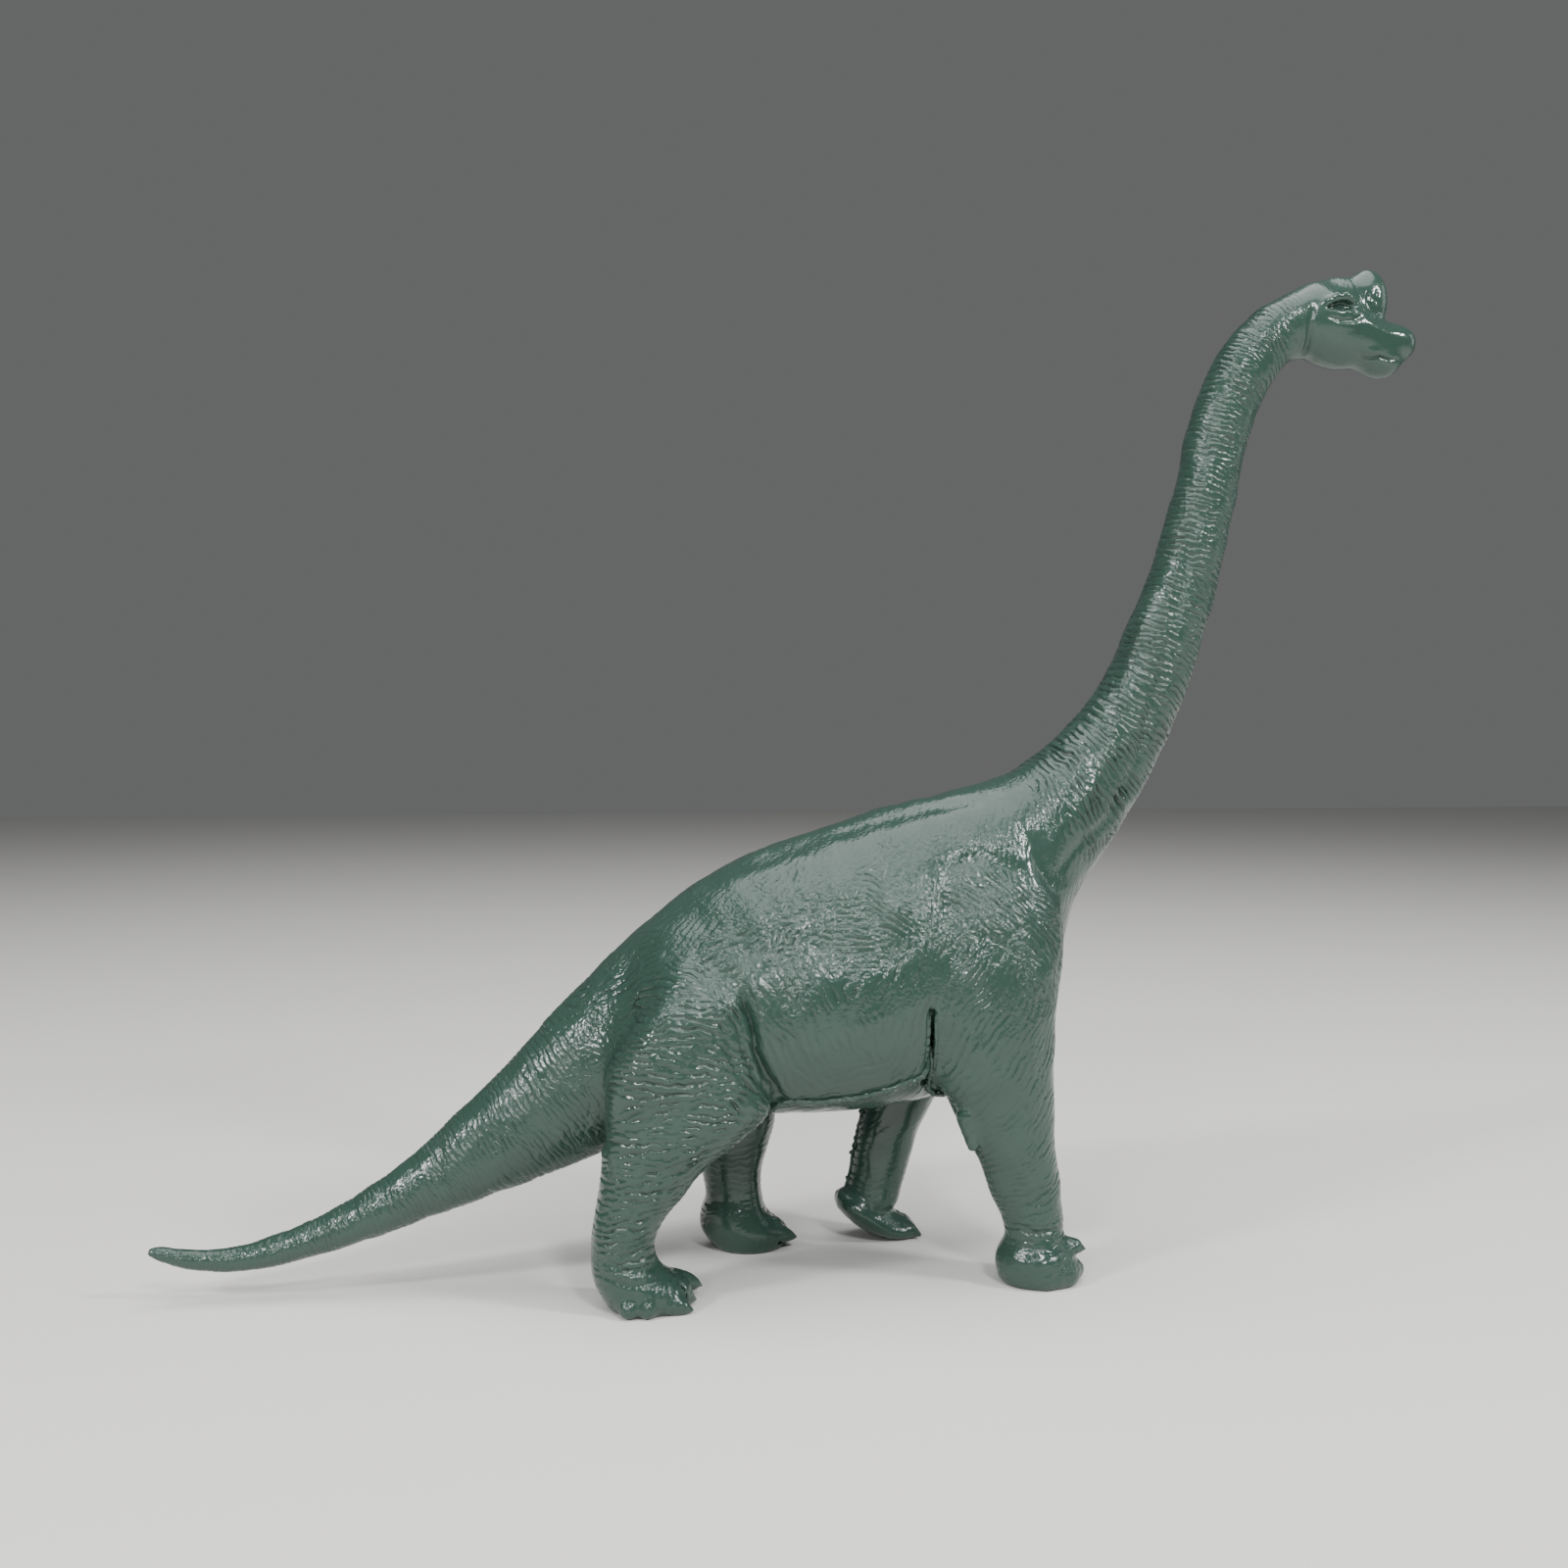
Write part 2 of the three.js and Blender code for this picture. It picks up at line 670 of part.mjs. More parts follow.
const figure = new THREE.Group();
figure.name = "dinosaur_figure";
figure.add(meshOf("torso_shell", makeTorsoShell()));
figure.add(meshOf("belly_panel", makeBellyPanel()));
figure.add(meshOf("neck_and_head", makeNeckAndHead()));
figure.add(meshOf("tail", makeTail()));
figure.add(meshOf("right_hind_leg", makeHindLeg(-1, standingHindShares)));
figure.add(meshOf("left_hind_leg", makeHindLeg(1, swungHindShares)));
figure.add(meshOf("right_foreleg", makeStandingForeLeg(-1)));
figure.add(meshOf("left_foreleg", makeTrailingForeLeg(1)));

// The origin is the middle of the figure's plan, on the ground.
const extent = new THREE.Box3().setFromObject(figure);
const centre = extent.getCenter(new THREE.Vector3());
figure.position.set(-centre.x, -centre.y, 0);

const part = new THREE.Group();
part.add(figure);

export default part;
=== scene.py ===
# A moulded toy figure of a long-necked, plant-eating dinosaur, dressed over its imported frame.
# Lengths are millimetres, in the frame's own axes, until a mesh is made in metres.
import functools
import math
from types import SimpleNamespace

import bpy
import numpy as np
import openvdb
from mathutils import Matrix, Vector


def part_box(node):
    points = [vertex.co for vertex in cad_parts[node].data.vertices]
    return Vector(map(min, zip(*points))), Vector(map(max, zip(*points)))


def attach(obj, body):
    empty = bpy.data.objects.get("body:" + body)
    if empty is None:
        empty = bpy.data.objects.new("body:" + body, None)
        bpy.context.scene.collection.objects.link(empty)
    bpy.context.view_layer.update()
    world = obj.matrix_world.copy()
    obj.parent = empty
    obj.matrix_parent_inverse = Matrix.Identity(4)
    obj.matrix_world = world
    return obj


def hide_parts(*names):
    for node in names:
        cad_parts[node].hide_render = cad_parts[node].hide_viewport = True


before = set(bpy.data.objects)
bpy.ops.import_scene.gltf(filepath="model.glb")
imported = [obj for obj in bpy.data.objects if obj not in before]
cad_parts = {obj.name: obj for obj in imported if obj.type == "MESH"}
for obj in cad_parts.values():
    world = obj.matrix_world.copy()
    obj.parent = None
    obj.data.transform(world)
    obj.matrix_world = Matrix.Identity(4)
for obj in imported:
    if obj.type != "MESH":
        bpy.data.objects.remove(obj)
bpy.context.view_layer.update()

bl_info = {
    "name": "Long-necked dinosaur figure",
    "version": (1, 0, 0),
    "blender": (4, 5, 0),
    "location": "3D View > Sidebar > Dinosaur",
    "description": "Dresses the frame of a moulded toy dinosaur with its sculpted skin",
    "category": "Add Mesh",
}

MM = 0.001
SEED = 41

# Torso: its centre line climbs from the tail root to the neck root
TAIL_ROOT_HEIGHT = 58.0
TORSO_LENGTH = 142.0
TORSO_RISE = 76.4
TORSO_DEPTH = 86.0
TORSO_WIDTH = 68.0
HIP_SHARE = 0.1655
SHOULDER_SHARE = 0.8134

# Belly panel, tail, neck and head
BELLY_LENGTH = 92.0
BELLY_WIDTH = 48.0
TAIL_LENGTH = 119.5
TAIL_DROP = 46.4
TAIL_ROOT_DEPTH = 42.4
TAIL_ROOT_WIDTH = 32.0
TAIL_SEAM_SETBACK = 2.0
NECK_REACH = 72.5
NECK_RISE = 145.5
NECK_ROOT_DEPTH = 36.4
NECK_ROOT_WIDTH = 32.4
HEAD_LENGTH = 37.4
HEAD_DEPTH = 24.4
HEAD_WIDTH = 20.0

# Legs and their pegs
HIND_LEG_HEIGHT = 97.6
HIND_LEG_LENGTH = 49.0
HIND_LEG_WIDTH = 32.0
HIND_TRACK = 48.0
FORE_LEG_HEIGHT = 114.6
FORE_LEG_LENGTH = 36.0
FORE_LEG_WIDTH = 29.0
FORE_TRACK = 44.0
HIP_PEG_HEIGHT = 76.6
SHOULDER_PEG_HEIGHT = 90.6
PEG_RADIUS = 6.5
PEG_LENGTH = 9.0
TRAILING_FOOT_LENGTH = 25.3
TRAILING_FOOT_DROP = 12.5
TRAILING_FOOT_DEPTH = 10.8
TRAILING_FOOT_WIDTH = 18.6
TRAILING_TOE_HEIGHT = 1.5
TRAILING_HEEL_SHARE = -0.331

# Sections: how much fuller the underside is than the back
TORSO_SAG_SHARE = 0.2
TAIL_SAG_SHARE = 0.06
NECK_SAG_SHARE = -0.08
HEAD_SAG_SHARE = -0.06
FOOT_SAG_SHARE = 0.25
CHEST_START_SHARE = 0.6

# Rows of a form: along, rise, depth, width, lean as a share of a right angle
TAIL_ROW_SHARES = [
    (1, -0.931, 0.042, 0.056, -0.2),
    (0.978, -0.944, 0.085, 0.109, -0.17),
    (0.937, -0.974, 0.111, 0.141, -0.12),
    (0.874, -1, 0.139, 0.178, -0.05),
    (0.808, -1, 0.163, 0.209, 0.04),
    (0.743, -0.976, 0.191, 0.247, 0.13),
    (0.678, -0.933, 0.212, 0.278, 0.18),
    (0.612, -0.881, 0.241, 0.319, 0.23),
    (0.544, -0.81, 0.283, 0.369, 0.27),
    (0.477, -0.733, 0.337, 0.425, 0.29),
    (0.408, -0.644, 0.396, 0.487, 0.33),
    (0.339, -0.554, 0.481, 0.556, 0.35),
    (0.273, -0.45, 0.575, 0.625, 0.36),
    (0.203, -0.347, 0.679, 0.7, 0.37),
    (0.134, -0.237, 0.778, 0.781, 0.37),
    (0.066, -0.123, 0.887, 0.875, 0.37),
    (0, 0, 1, 1, 0.34),
]
TORSO_ROW_SHARES = [
    (0.055, 0.08, 0.558, 0.588, 0.22),
    (0.135, 0.182, 0.667, 0.753, 0.12),
    (0.221, 0.267, 0.772, 0.874, 0.06),
    (0.327, 0.329, 0.863, 0.959, 0.05),
    (0.442, 0.365, 0.933, 1, 0.06),
    (0.549, 0.399, 0.977, 1, 0.08),
    (0.644, 0.442, 0.995, 0.956, 0.12),
    (0.724, 0.491, 0.977, 0.882, 0.16),
    (0.795, 0.551, 0.921, 0.803, 0.2),
    (0.851, 0.63, 0.837, 0.724, 0.23),
    (0.887, 0.716, 0.716, 0.647, 0.24),
    (0.917, 0.802, 0.598, 0.576, 0.24),
    (0.95, 0.893, 0.495, 0.521, 0.26),
]
NECK_ROW_SHARES = [
    (0, 0, 1, 1, 0.33),
    (0.083, 0.049, 0.896, 0.84, 0.44),
    (0.212, 0.137, 0.764, 0.728, 0.62),
    (0.328, 0.238, 0.67, 0.667, 0.7),
    (0.414, 0.344, 0.626, 0.623, 0.78),
    (0.49, 0.447, 0.571, 0.586, 0.8),
    (0.542, 0.544, 0.538, 0.562, 0.83),
    (0.597, 0.647, 0.511, 0.537, 0.84),
    (0.637, 0.744, 0.511, 0.519, 0.82),
    (0.692, 0.832, 0.505, 0.519, 0.76),
    (0.774, 0.911, 0.516, 0.531, 0.59),
    (0.883, 0.972, 0.505, 0.543, 0.4),
    (1, 1, 0.56, 0.6, 0.18),
]
HEAD_ROW_SHARES = [
    (0.16, 0.037, 1, 1, 0.04),
    (0.35, -0.045, 0.951, 0.96, 0),
    (0.508, -0.111, 0.795, 0.88, 0),
    (0.66, -0.209, 0.738, 0.76, 0),
    (0.79, -0.234, 0.623, 0.66, 0),
    (0.9, -0.193, 0.418, 0.52, 0),
    (0.97, -0.16, 0.246, 0.34, 0),
    (1, -0.152, 0.066, 0.1, 0),
]
TRAILING_FOOT_SHARES = [
    (0, 1, 0.2, 0.3, -0.4),
    (0.1, 0.9, 0.75, 0.78, -0.4),
    (0.24, 0.73, 0.93, 0.97, -0.4),
    (0.4, 0.49, 1, 1, -0.4),
    (0.56, 0.28, 0.93, 0.98, -0.38),
    (0.72, 0.15, 0.76, 0.92, -0.3),
    (0.87, 0.09, 0.55, 0.74, -0.15),
    (1, 0, 0.15, 0.3, -0.1),
]

# Rows of a leg from the top down: height, forward, out, length, width
STANDING_HIND_SHARES = [
    (1, 0.01, 0.5, 0.367, 0.25),
    (0.939, 0, 0.708, 0.694, 0.562),
    (0.846, -0.01, 0.875, 0.829, 0.844),
    (0.734, -0.01, 0.938, 0.878, 0.969),
    (0.631, 0, 0.979, 0.918, 0.969),
    (0.549, 0.012, 1, 0.963, 0.906),
    (0.477, -0.02, 1.021, 0.816, 0.844),
    (0.395, -0.072, 1.021, 0.596, 0.775),
    (0.314, -0.113, 1.021, 0.473, 0.675),
    (0.238, -0.151, 1.021, 0.38, 0.6),
    (0.172, -0.162, 1.012, 0.347, 0.575),
    (0.115, -0.15, 1, 0.4, 0.625),
    (0.064, -0.108, 1, 0.52, 0.688),
    (0.023, -0.097, 1, 0.469, 0.656),
    (0, -0.097, 1, 0.408, 0.575),
]
SWUNG_HIND_SHARES = [
    (1, 0.031, 0.5, 0.367, 0.25),
    (0.939, 0.02, 0.708, 0.694, 0.562),
    (0.846, 0.02, 0.875, 0.829, 0.844),
    (0.734, 0.041, 0.938, 0.878, 0.969),
    (0.631, 0.082, 0.979, 0.878, 0.969),
    (0.549, 0.133, 1, 0.837, 0.906),
    (0.477, 0.174, 1.021, 0.694, 0.844),
    (0.395, 0.205, 1.021, 0.571, 0.775),
    (0.314, 0.212, 1.021, 0.449, 0.675),
    (0.238, 0.214, 1.021, 0.376, 0.6),
    (0.172, 0.219, 1.012, 0.351, 0.575),
    (0.115, 0.22, 1, 0.416, 0.625),
    (0.064, 0.25, 1, 0.531, 0.688),
    (0.023, 0.266, 1, 0.49, 0.656),
    (0, 0.266, 1, 0.408, 0.575),
]
STANDING_FORE_SHARES = [
    (1, 0.017, 0.591, 0.389, 0.379),
    (0.948, 0.017, 0.773, 0.694, 0.69),
    (0.869, 0.009, 0.864, 0.833, 0.897),
    (0.773, -0.004, 0.932, 0.917, 1),
    (0.668, -0.022, 0.977, 0.972, 1),
    (0.564, -0.031, 1, 1, 0.931),
    (0.511, -0.026, 1, 0.972, 0.897),
    (0.459, -0.006, 1, 0.856, 0.828),
    (0.372, 0.015, 1, 0.722, 0.759),
    (0.311, 0.035, 1, 0.633, 0.69),
    (0.258, 0.05, 1, 0.594, 0.641),
    (0.215, 0.059, 1, 0.556, 0.614),
    (0.167, 0.074, 1, 0.5, 0.593),
    (0.115, 0.081, 1, 0.478, 0.593),
    (0.068, 0.083, 1, 0.611, 0.71),
    (0.033, 0.094, 1, 0.683, 0.759),
    (0.01, 0.094, 1, 0.644, 0.71),
    (0, 0.094, 1, 0.572, 0.621),
]
TRAILING_FORE_SHARES = [
    (1, 0.017, 0.591, 0.389, 0.379),
    (0.948, 0.017, 0.773, 0.694, 0.69),
    (0.869, 0.009, 0.864, 0.833, 0.897),
    (0.773, -0.009, 0.932, 0.917, 1),
    (0.668, -0.044, 0.977, 0.972, 1),
    (0.564, -0.083, 1.023, 0.861, 0.931),
    (0.476, -0.118, 1.091, 0.694, 0.793),
    (0.407, -0.148, 1.136, 0.611, 0.724),
    (0.337, -0.176, 1.168, 0.567, 0.676),
    (0.284, -0.195, 1.182, 0.533, 0.641),
    (0.232, -0.207, 1.191, 0.522, 0.621),
    (0.188, -0.216, 1.2, 0.494, 0.607),
    (0.145, -0.228, 1.205, 0.478, 0.593),
    (0.096, -0.236, 1.209, 0.444, 0.579),
    (0.07, -0.236, 1.209, 0.278, 0.345),
]


# Forms

def smooth_rows(rows, steps):
    """The rows with steps - 1 more between each two, on a smooth curve through them."""
    rows = np.asarray(rows, float)
    last = len(rows) - 1
    index = np.arange(last * steps + 1) / steps
    start = np.minimum(index.astype(int), last - 1)
    t = (index - start)[:, None]
    a, b, c, d = (rows[np.clip(start + k, 0, last)] for k in (-1, 0, 1, 2))
    return b + t * (c - a + t * (2 * a - 5 * b + 4 * c - d + t * (3 * (b - c) + d - a))) / 2


def upright_rings(rows, sides):
    """Rings of rows x, z, depth, width, sag, lean: the depth leans back from upright."""
    x, z, depth, width, sag, lean = np.asarray(rows, float).T[:, :, None]
    turn = np.arange(sides)[None, :] / sides * 2 * math.pi
    tilt = lean * math.pi / 2
    front = depth / 2 * np.cos(turn)
    across = width / 2 * (1 - sag * np.cos(turn)) * np.sin(turn)
    return np.stack([x - np.sin(tilt) * front, across, z + np.cos(tilt) * front], -1)


def lofted(rings):
    """A closed skin over rings: its points, quads, and the triangles of its end fans."""
    count, sides = rings.shape[:2]
    points = rings.reshape(-1, 3)
    k = np.arange(sides)
    after = (k + 1) % sides
    row = np.arange(count - 1)[:, None] * sides
    quads = np.stack([row + k, row + sides + k, row + sides + after, row + after], -1)
    last = (count - 1) * sides
    first_middle = len(points)
    ends = [
        np.stack([np.full(sides, first_middle), k, after], -1),
        np.stack([np.full(sides, first_middle + 1), last + after, last + k], -1),
    ]
    points = np.vstack([points, rings[0].mean(0), rings[-1].mean(0)])
    return points, quads.reshape(-1, 4), np.vstack(ends)


def smoothstep(low, high, value):
    """A climb from 0 at low to 1 at high, level at both ends."""
    share = np.clip((value - low) / (high - low), 0, 1)
    return share * share * (3 - 2 * share)


def body_rows():
    """The centre line from the tail's tip to the snout, before it is set in the frame."""
    rows = []
    for along, rise, depth, width, lean in TAIL_ROW_SHARES:
        x = -TORSO_LENGTH / 2 - along * TAIL_LENGTH
        z = TAIL_ROOT_HEIGHT + rise * TAIL_DROP
        rows.append((x, z, depth * TAIL_ROOT_DEPTH, width * TAIL_ROOT_WIDTH, TAIL_SAG_SHARE, lean))
    for along, rise, depth, width, lean in TORSO_ROW_SHARES:
        chest = smoothstep(CHEST_START_SHARE, 1, along)
        sag = TORSO_SAG_SHARE + (NECK_SAG_SHARE - TORSO_SAG_SHARE) * chest
        x = -TORSO_LENGTH / 2 + along * TORSO_LENGTH
        z = TAIL_ROOT_HEIGHT + rise * TORSO_RISE
        rows.append((x, z, depth * TORSO_DEPTH, width * TORSO_WIDTH, sag, lean))
    for reach, rise, depth, width, lean in NECK_ROW_SHARES:
        x = TORSO_LENGTH / 2 + reach * NECK_REACH
        z = TAIL_ROOT_HEIGHT + TORSO_RISE + rise * NECK_RISE
        rows.append((x, z, depth * NECK_ROOT_DEPTH, width * NECK_ROOT_WIDTH, NECK_SAG_SHARE, lean))
    for along, rise, depth, width, lean in HEAD_ROW_SHARES:
        x = TORSO_LENGTH / 2 + NECK_REACH + along * HEAD_LENGTH
        z = TAIL_ROOT_HEIGHT + TORSO_RISE + NECK_RISE + rise * HEAD_DEPTH
        rows.append((x, z, depth * HEAD_DEPTH, width * HEAD_WIDTH, HEAD_SAG_SHARE, lean))
    return np.array(rows)


ROUND_SIDES = 96
ROW_STEPS = 8
BODY_ROWS = body_rows()
tail_tip = upright_rings(BODY_ROWS[:2], ROUND_SIDES)[..., 0].min()
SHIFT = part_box("tail")[0][0] / MM - tail_tip
BODY_ROWS[:, 0] += SHIFT

TAIL_COUNT = len(TAIL_ROW_SHARES)
TORSO_COUNT = len(TORSO_ROW_SHARES)
TAIL_ROOT_X = SHIFT - TORSO_LENGTH / 2
TAIL_SEAM_X = TAIL_ROOT_X + TAIL_SEAM_SETBACK
HIP_X = TAIL_ROOT_X + HIP_SHARE * TORSO_LENGTH
SHOULDER_X = TAIL_ROOT_X + SHOULDER_SHARE * TORSO_LENGTH
BELLY_X = (HIP_X + SHOULDER_X) / 2

# The neck seam is halfway between the torso's last row and the neck root
neck_seam_row = smooth_rows(BODY_ROWS[TAIL_COUNT + TORSO_COUNT - 2:][:4], 2)[3]
NECK_SEAM_X = neck_seam_row[0]
NECK_SEAM_Z = neck_seam_row[1]
NECK_SEAM_TILT = neck_seam_row[5] * math.pi / 2
NECK_SEAM_AXIS = np.array([math.cos(NECK_SEAM_TILT), 0, math.sin(NECK_SEAM_TILT)])


HIND_SIZES = {
    "height": HIND_LEG_HEIGHT,
    "length": HIND_LEG_LENGTH,
    "width": HIND_LEG_WIDTH,
    "track": HIND_TRACK,
    "x": HIP_X,
    "peg_height": HIP_PEG_HEIGHT,
}
FORE_SIZES = {
    "height": FORE_LEG_HEIGHT,
    "length": FORE_LEG_LENGTH,
    "width": FORE_LEG_WIDTH,
    "track": FORE_TRACK,
    "x": SHOULDER_X,
    "peg_height": SHOULDER_PEG_HEIGHT,
}


def leg(name, side, hind, rows, sole):
    """A leg's rows and sizes. Its toes are set out from the middle of its sole: x and outwards."""
    sizes = HIND_SIZES if hind else FORE_SIZES
    return SimpleNamespace(name=name, side=side, hind=hind, rows=np.array(rows), sole=sole, **sizes)


LEGS = {
    "right_hind_leg": leg("right_hind_leg", -1, True, STANDING_HIND_SHARES, (-50.8, 24.2)),
    "left_hind_leg": leg("left_hind_leg", 1, True, SWUNG_HIND_SHARES, (-15.2, 24.2)),
    "right_foreleg": leg("right_foreleg", -1, False, STANDING_FORE_SHARES, (60.4, 22.1)),
    "left_foreleg": leg("left_foreleg", 1, False, TRAILING_FORE_SHARES, (30.2, 26.6)),
}


def leg_rings(item):
    """A leg's level rings, from the top down to its sole."""
    rows = smooth_rows(item.rows, ROW_STEPS)
    height, forward, out, length, width = rows.T[:, :, None]
    turn = np.arange(ROUND_SIDES)[None, :] / ROUND_SIDES * 2 * math.pi
    x = item.x + forward * item.height + length * item.length / 2 * np.cos(turn)
    y = item.side * out * item.track / 2 + width * item.width / 2 * np.sin(turn)
    z = np.broadcast_to(height * item.height, x.shape)
    return np.stack([x, y, z], -1)


def trailing_foot_rings(item):
    """The rings of the foot that stands on the tip of its toes, from the heel down."""
    heel_x = item.x + TRAILING_HEEL_SHARE * item.height
    rows = []
    for along, rise, depth, width, lean in TRAILING_FOOT_SHARES:
        x = heel_x + along * TRAILING_FOOT_LENGTH
        z = TRAILING_TOE_HEIGHT + rise * TRAILING_FOOT_DROP
        depth *= TRAILING_FOOT_DEPTH
        width *= TRAILING_FOOT_WIDTH
        rows.append((x, z, depth, width, FOOT_SAG_SHARE, lean))
    rings = upright_rings(smooth_rows(rows, ROW_STEPS), ROUND_SIDES)
    rings[..., 1] += item.side * item.rows[-1][2] * item.track / 2
    return rings


def rings_of(form):
    """The rings of a form by name: the body, its thin tail, a leg or the trailing foot."""
    if form == "body":
        return upright_rings(smooth_rows(BODY_ROWS, ROW_STEPS), ROUND_SIDES)
    if form == "tail":
        return upright_rings(smooth_rows(BODY_ROWS[:TAIL_COUNT], ROW_STEPS), ROUND_SIDES)
    if form == "trailing_foot":
        return trailing_foot_rings(LEGS["left_foreleg"])
    return leg_rings(LEGS[form])


# Signed distances on blocks of cells: below zero inside

FORM_CELL = 0.9
FORM_BAND = 9.9
TAIL_FORM_CELL = 0.45
TAIL_FORM_BAND = 4.0
SURFACE_BAND = 2.4


@functools.lru_cache(maxsize=None)
def level_set(form, cell, band):
    """A form's distances on coarse cells, kept in a band on both sides of its skin."""
    points, quads, triangles = lofted(rings_of(form))
    return openvdb.FloatGrid.createLevelSetFromPolygons(
        points.astype(np.float32),
        triangles=triangles.astype(np.uint32),
        quads=quads.astype(np.uint32),
        transform=openvdb.createLinearTransform(voxelSize=cell),
        halfWidth=band / cell,
    )


def spread(values, places, axis):
    """Values at places along one axis, by a cubic spline. Places count from the first cell."""
    start = np.floor(places).astype(int)
    t = (places - start).astype(np.float32)
    weights = ((1 - t) ** 3, 3 * t**3 - 6 * t**2 + 4, 3 * t + 3 * t**2 - 3 * t**3 + 1, t**3)
    shape = [1, 1, 1]
    shape[axis] = len(places)
    total = 0
    for k, weight in enumerate(weights):
        total = total + np.take(values, start + k - 1, axis) * (weight / 6).reshape(shape)
    return total


class Block:
    """A box of cells that holds distances, sampled between cells where asked."""

    def __init__(self, low, high, cell):
        self.cell = cell
        self.first = np.floor(np.array(low) / cell).astype(int)
        self.shape = tuple(np.ceil(np.array(high) / cell).astype(int) - self.first + 1)
        self.values = None
        self.body = None
        self.limb = None

    def axes(self):
        """The cells' x, y and z, each ready to spread over the block."""
        lines = [(self.first[k] + np.arange(self.shape[k])) * self.cell for k in range(3)]
        return np.ix_(*[line.astype(np.float32) for line in lines])

    def form(self, name, cell=FORM_CELL, band=FORM_BAND):
        """A form's distances, spread smoothly from the cells that its level set is kept on."""
        places = [(self.first[k] + np.arange(self.shape[k])) * self.cell / cell for k in range(3)]
        first = [int(np.floor(place[0])) - 1 for place in places]
        shape = [int(np.floor(place[-1])) + 3 - start for place, start in zip(places, first)]
        values = np.empty(shape, np.float32)
        level_set(name, cell, band).copyToArray(values, ijk=tuple(first))
        for axis in range(3):
            values = spread(values, places[axis] - first[axis], axis)
        return values

    def at(self, points, values=None):
        """Values at points, by trilinear sampling."""
        values = self.values if values is None else values
        place = points / self.cell - self.first
        limit = np.array(self.shape) - 2
        corner = np.clip(np.floor(place).astype(int), 0, limit)
        t = np.clip(place - corner, 0, 1)
        flat = values.ravel()
        stride = (self.shape[1] * self.shape[2], self.shape[2], 1)
        start = corner @ np.array(stride)
        shares = (1 - t, t)
        total = 0
        for i, j, k in np.ndindex(2, 2, 2):
            weight = shares[i][:, 0] * shares[j][:, 1] * shares[k][:, 2]
            total = total + weight * flat[start + i * stride[0] + j * stride[1] + k]
        return total

    def slopes(self, points):
        """Unit directions in which the values climb fastest."""
        half = self.cell * 0.75
        sides = []
        for k in range(3):
            step = np.zeros(3)
            step[k] = half
            sides.append(self.at(points + step) - self.at(points - step))
        slope = np.stack(sides, -1)
        return slope / (np.linalg.norm(slope, axis=1)[:, None] + 1e-9)


def smooth_min(a, b, reach):
    """The lower of two fields, rounded where they are within reach of each other."""
    share = np.clip(0.5 + 0.5 * (b - a) / reach, 0, 1)
    return b + (a - b) * share - reach * share * (1 - share)


def smooth_max(a, b, reach):
    """The higher of two fields, rounded likewise."""
    return -smooth_min(-a, -b, reach)


def capsule(axes, start, end, start_radius, end_radius, taper=1.0):
    """Distance from a rod between two points. A taper over 1 keeps its first part thick."""
    start = np.array(start)
    along = np.array(end) - start
    length_squared = float(along @ along)
    offset = [axis - start[k] for k, axis in enumerate(axes)]
    share = sum(offset[k] * along[k] for k in range(3)) / length_squared
    share = np.clip(share, 0, 1)
    distance = np.sqrt(sum((offset[k] - share * along[k]) ** 2 for k in range(3)))
    return distance - (start_radius + (end_radius - start_radius) * share**taper)


def ellipsoid(axes, centre, half_sizes, turn=0.0):
    """Distance, near the surface, from an ellipsoid that is turned about the Y direction."""
    x = axes[0] - centre[0]
    y = axes[1] - centre[1]
    z = axes[2] - centre[2]
    along = x * math.cos(turn) + z * math.sin(turn)
    rise = z * math.cos(turn) - x * math.sin(turn)
    a, b, c = half_sizes
    reach = np.sqrt((along / a) ** 2 + (y / b) ** 2 + (rise / c) ** 2)
    slope = np.sqrt((along / a**2) ** 2 + (y / b**2) ** 2 + (rise / c**2) ** 2) + 1e-6
    return (reach - 1) * reach / slope


# Toes: x from the sole's middle, outwards from it, height, for root and tip, then both radii
HIND_TOES = [
    ((2.6, 7.0, 3.5), (10.4, 7.7, 1.0), 2.9, 0.45),
    ((4.6, 1.6, 4.6), (12.2, 0.8, 1.4), 3.2, 0.5),
    ((7.0, -4.2, 5.6), (14.6, -6.0, 3.0), 3.0, 0.5),
    ((-6.4, 7.2, 3.3), (-6.6, 8.6, 2.6), 3.2, 2.7),
    ((-2.0, 7.6, 3.4), (-1.8, 9.2, 2.6), 3.2, 2.7),
]
SWUNG_TOES = [
    ((1.0, -4.6, 7.2), (6.0, -5.4, 7.8), 3.0, 2.2),
    ((4.5, -5.0, 5.2), (12.0, -6.2, 3.7), 2.8, 0.5),
    ((5.0, -0.6, 3.8), (10.8, -1.4, 2.2), 3.0, 1.2),
    ((4.0, 3.8, 3.6), (9.4, 4.0, 1.8), 3.0, 1.0),
    ((0.5, 7.2, 3.4), (5.6, 8.8, 1.8), 2.9, 0.9),
]
FORE_TOES = [
    ((4.4, 0.4, 8.2), (9.2, 2.6, 10.2), 4.0, 2.0),
    ((8.0, 2.2, 10.6), (12.0, 3.4, 9.4), 2.0, 0.5),
    ((5.4, -1.0, 3.4), (9.8, 1.0, 3.2), 3.6, 2.9),
    ((3.0, 4.2, 3.4), (6.0, 6.2, 3.0), 3.4, 2.8),
    ((-2.0, 6.4, 3.2), (-1.2, 8.4, 2.8), 3.2, 2.6),
]
TOE_TAPER = 3.0

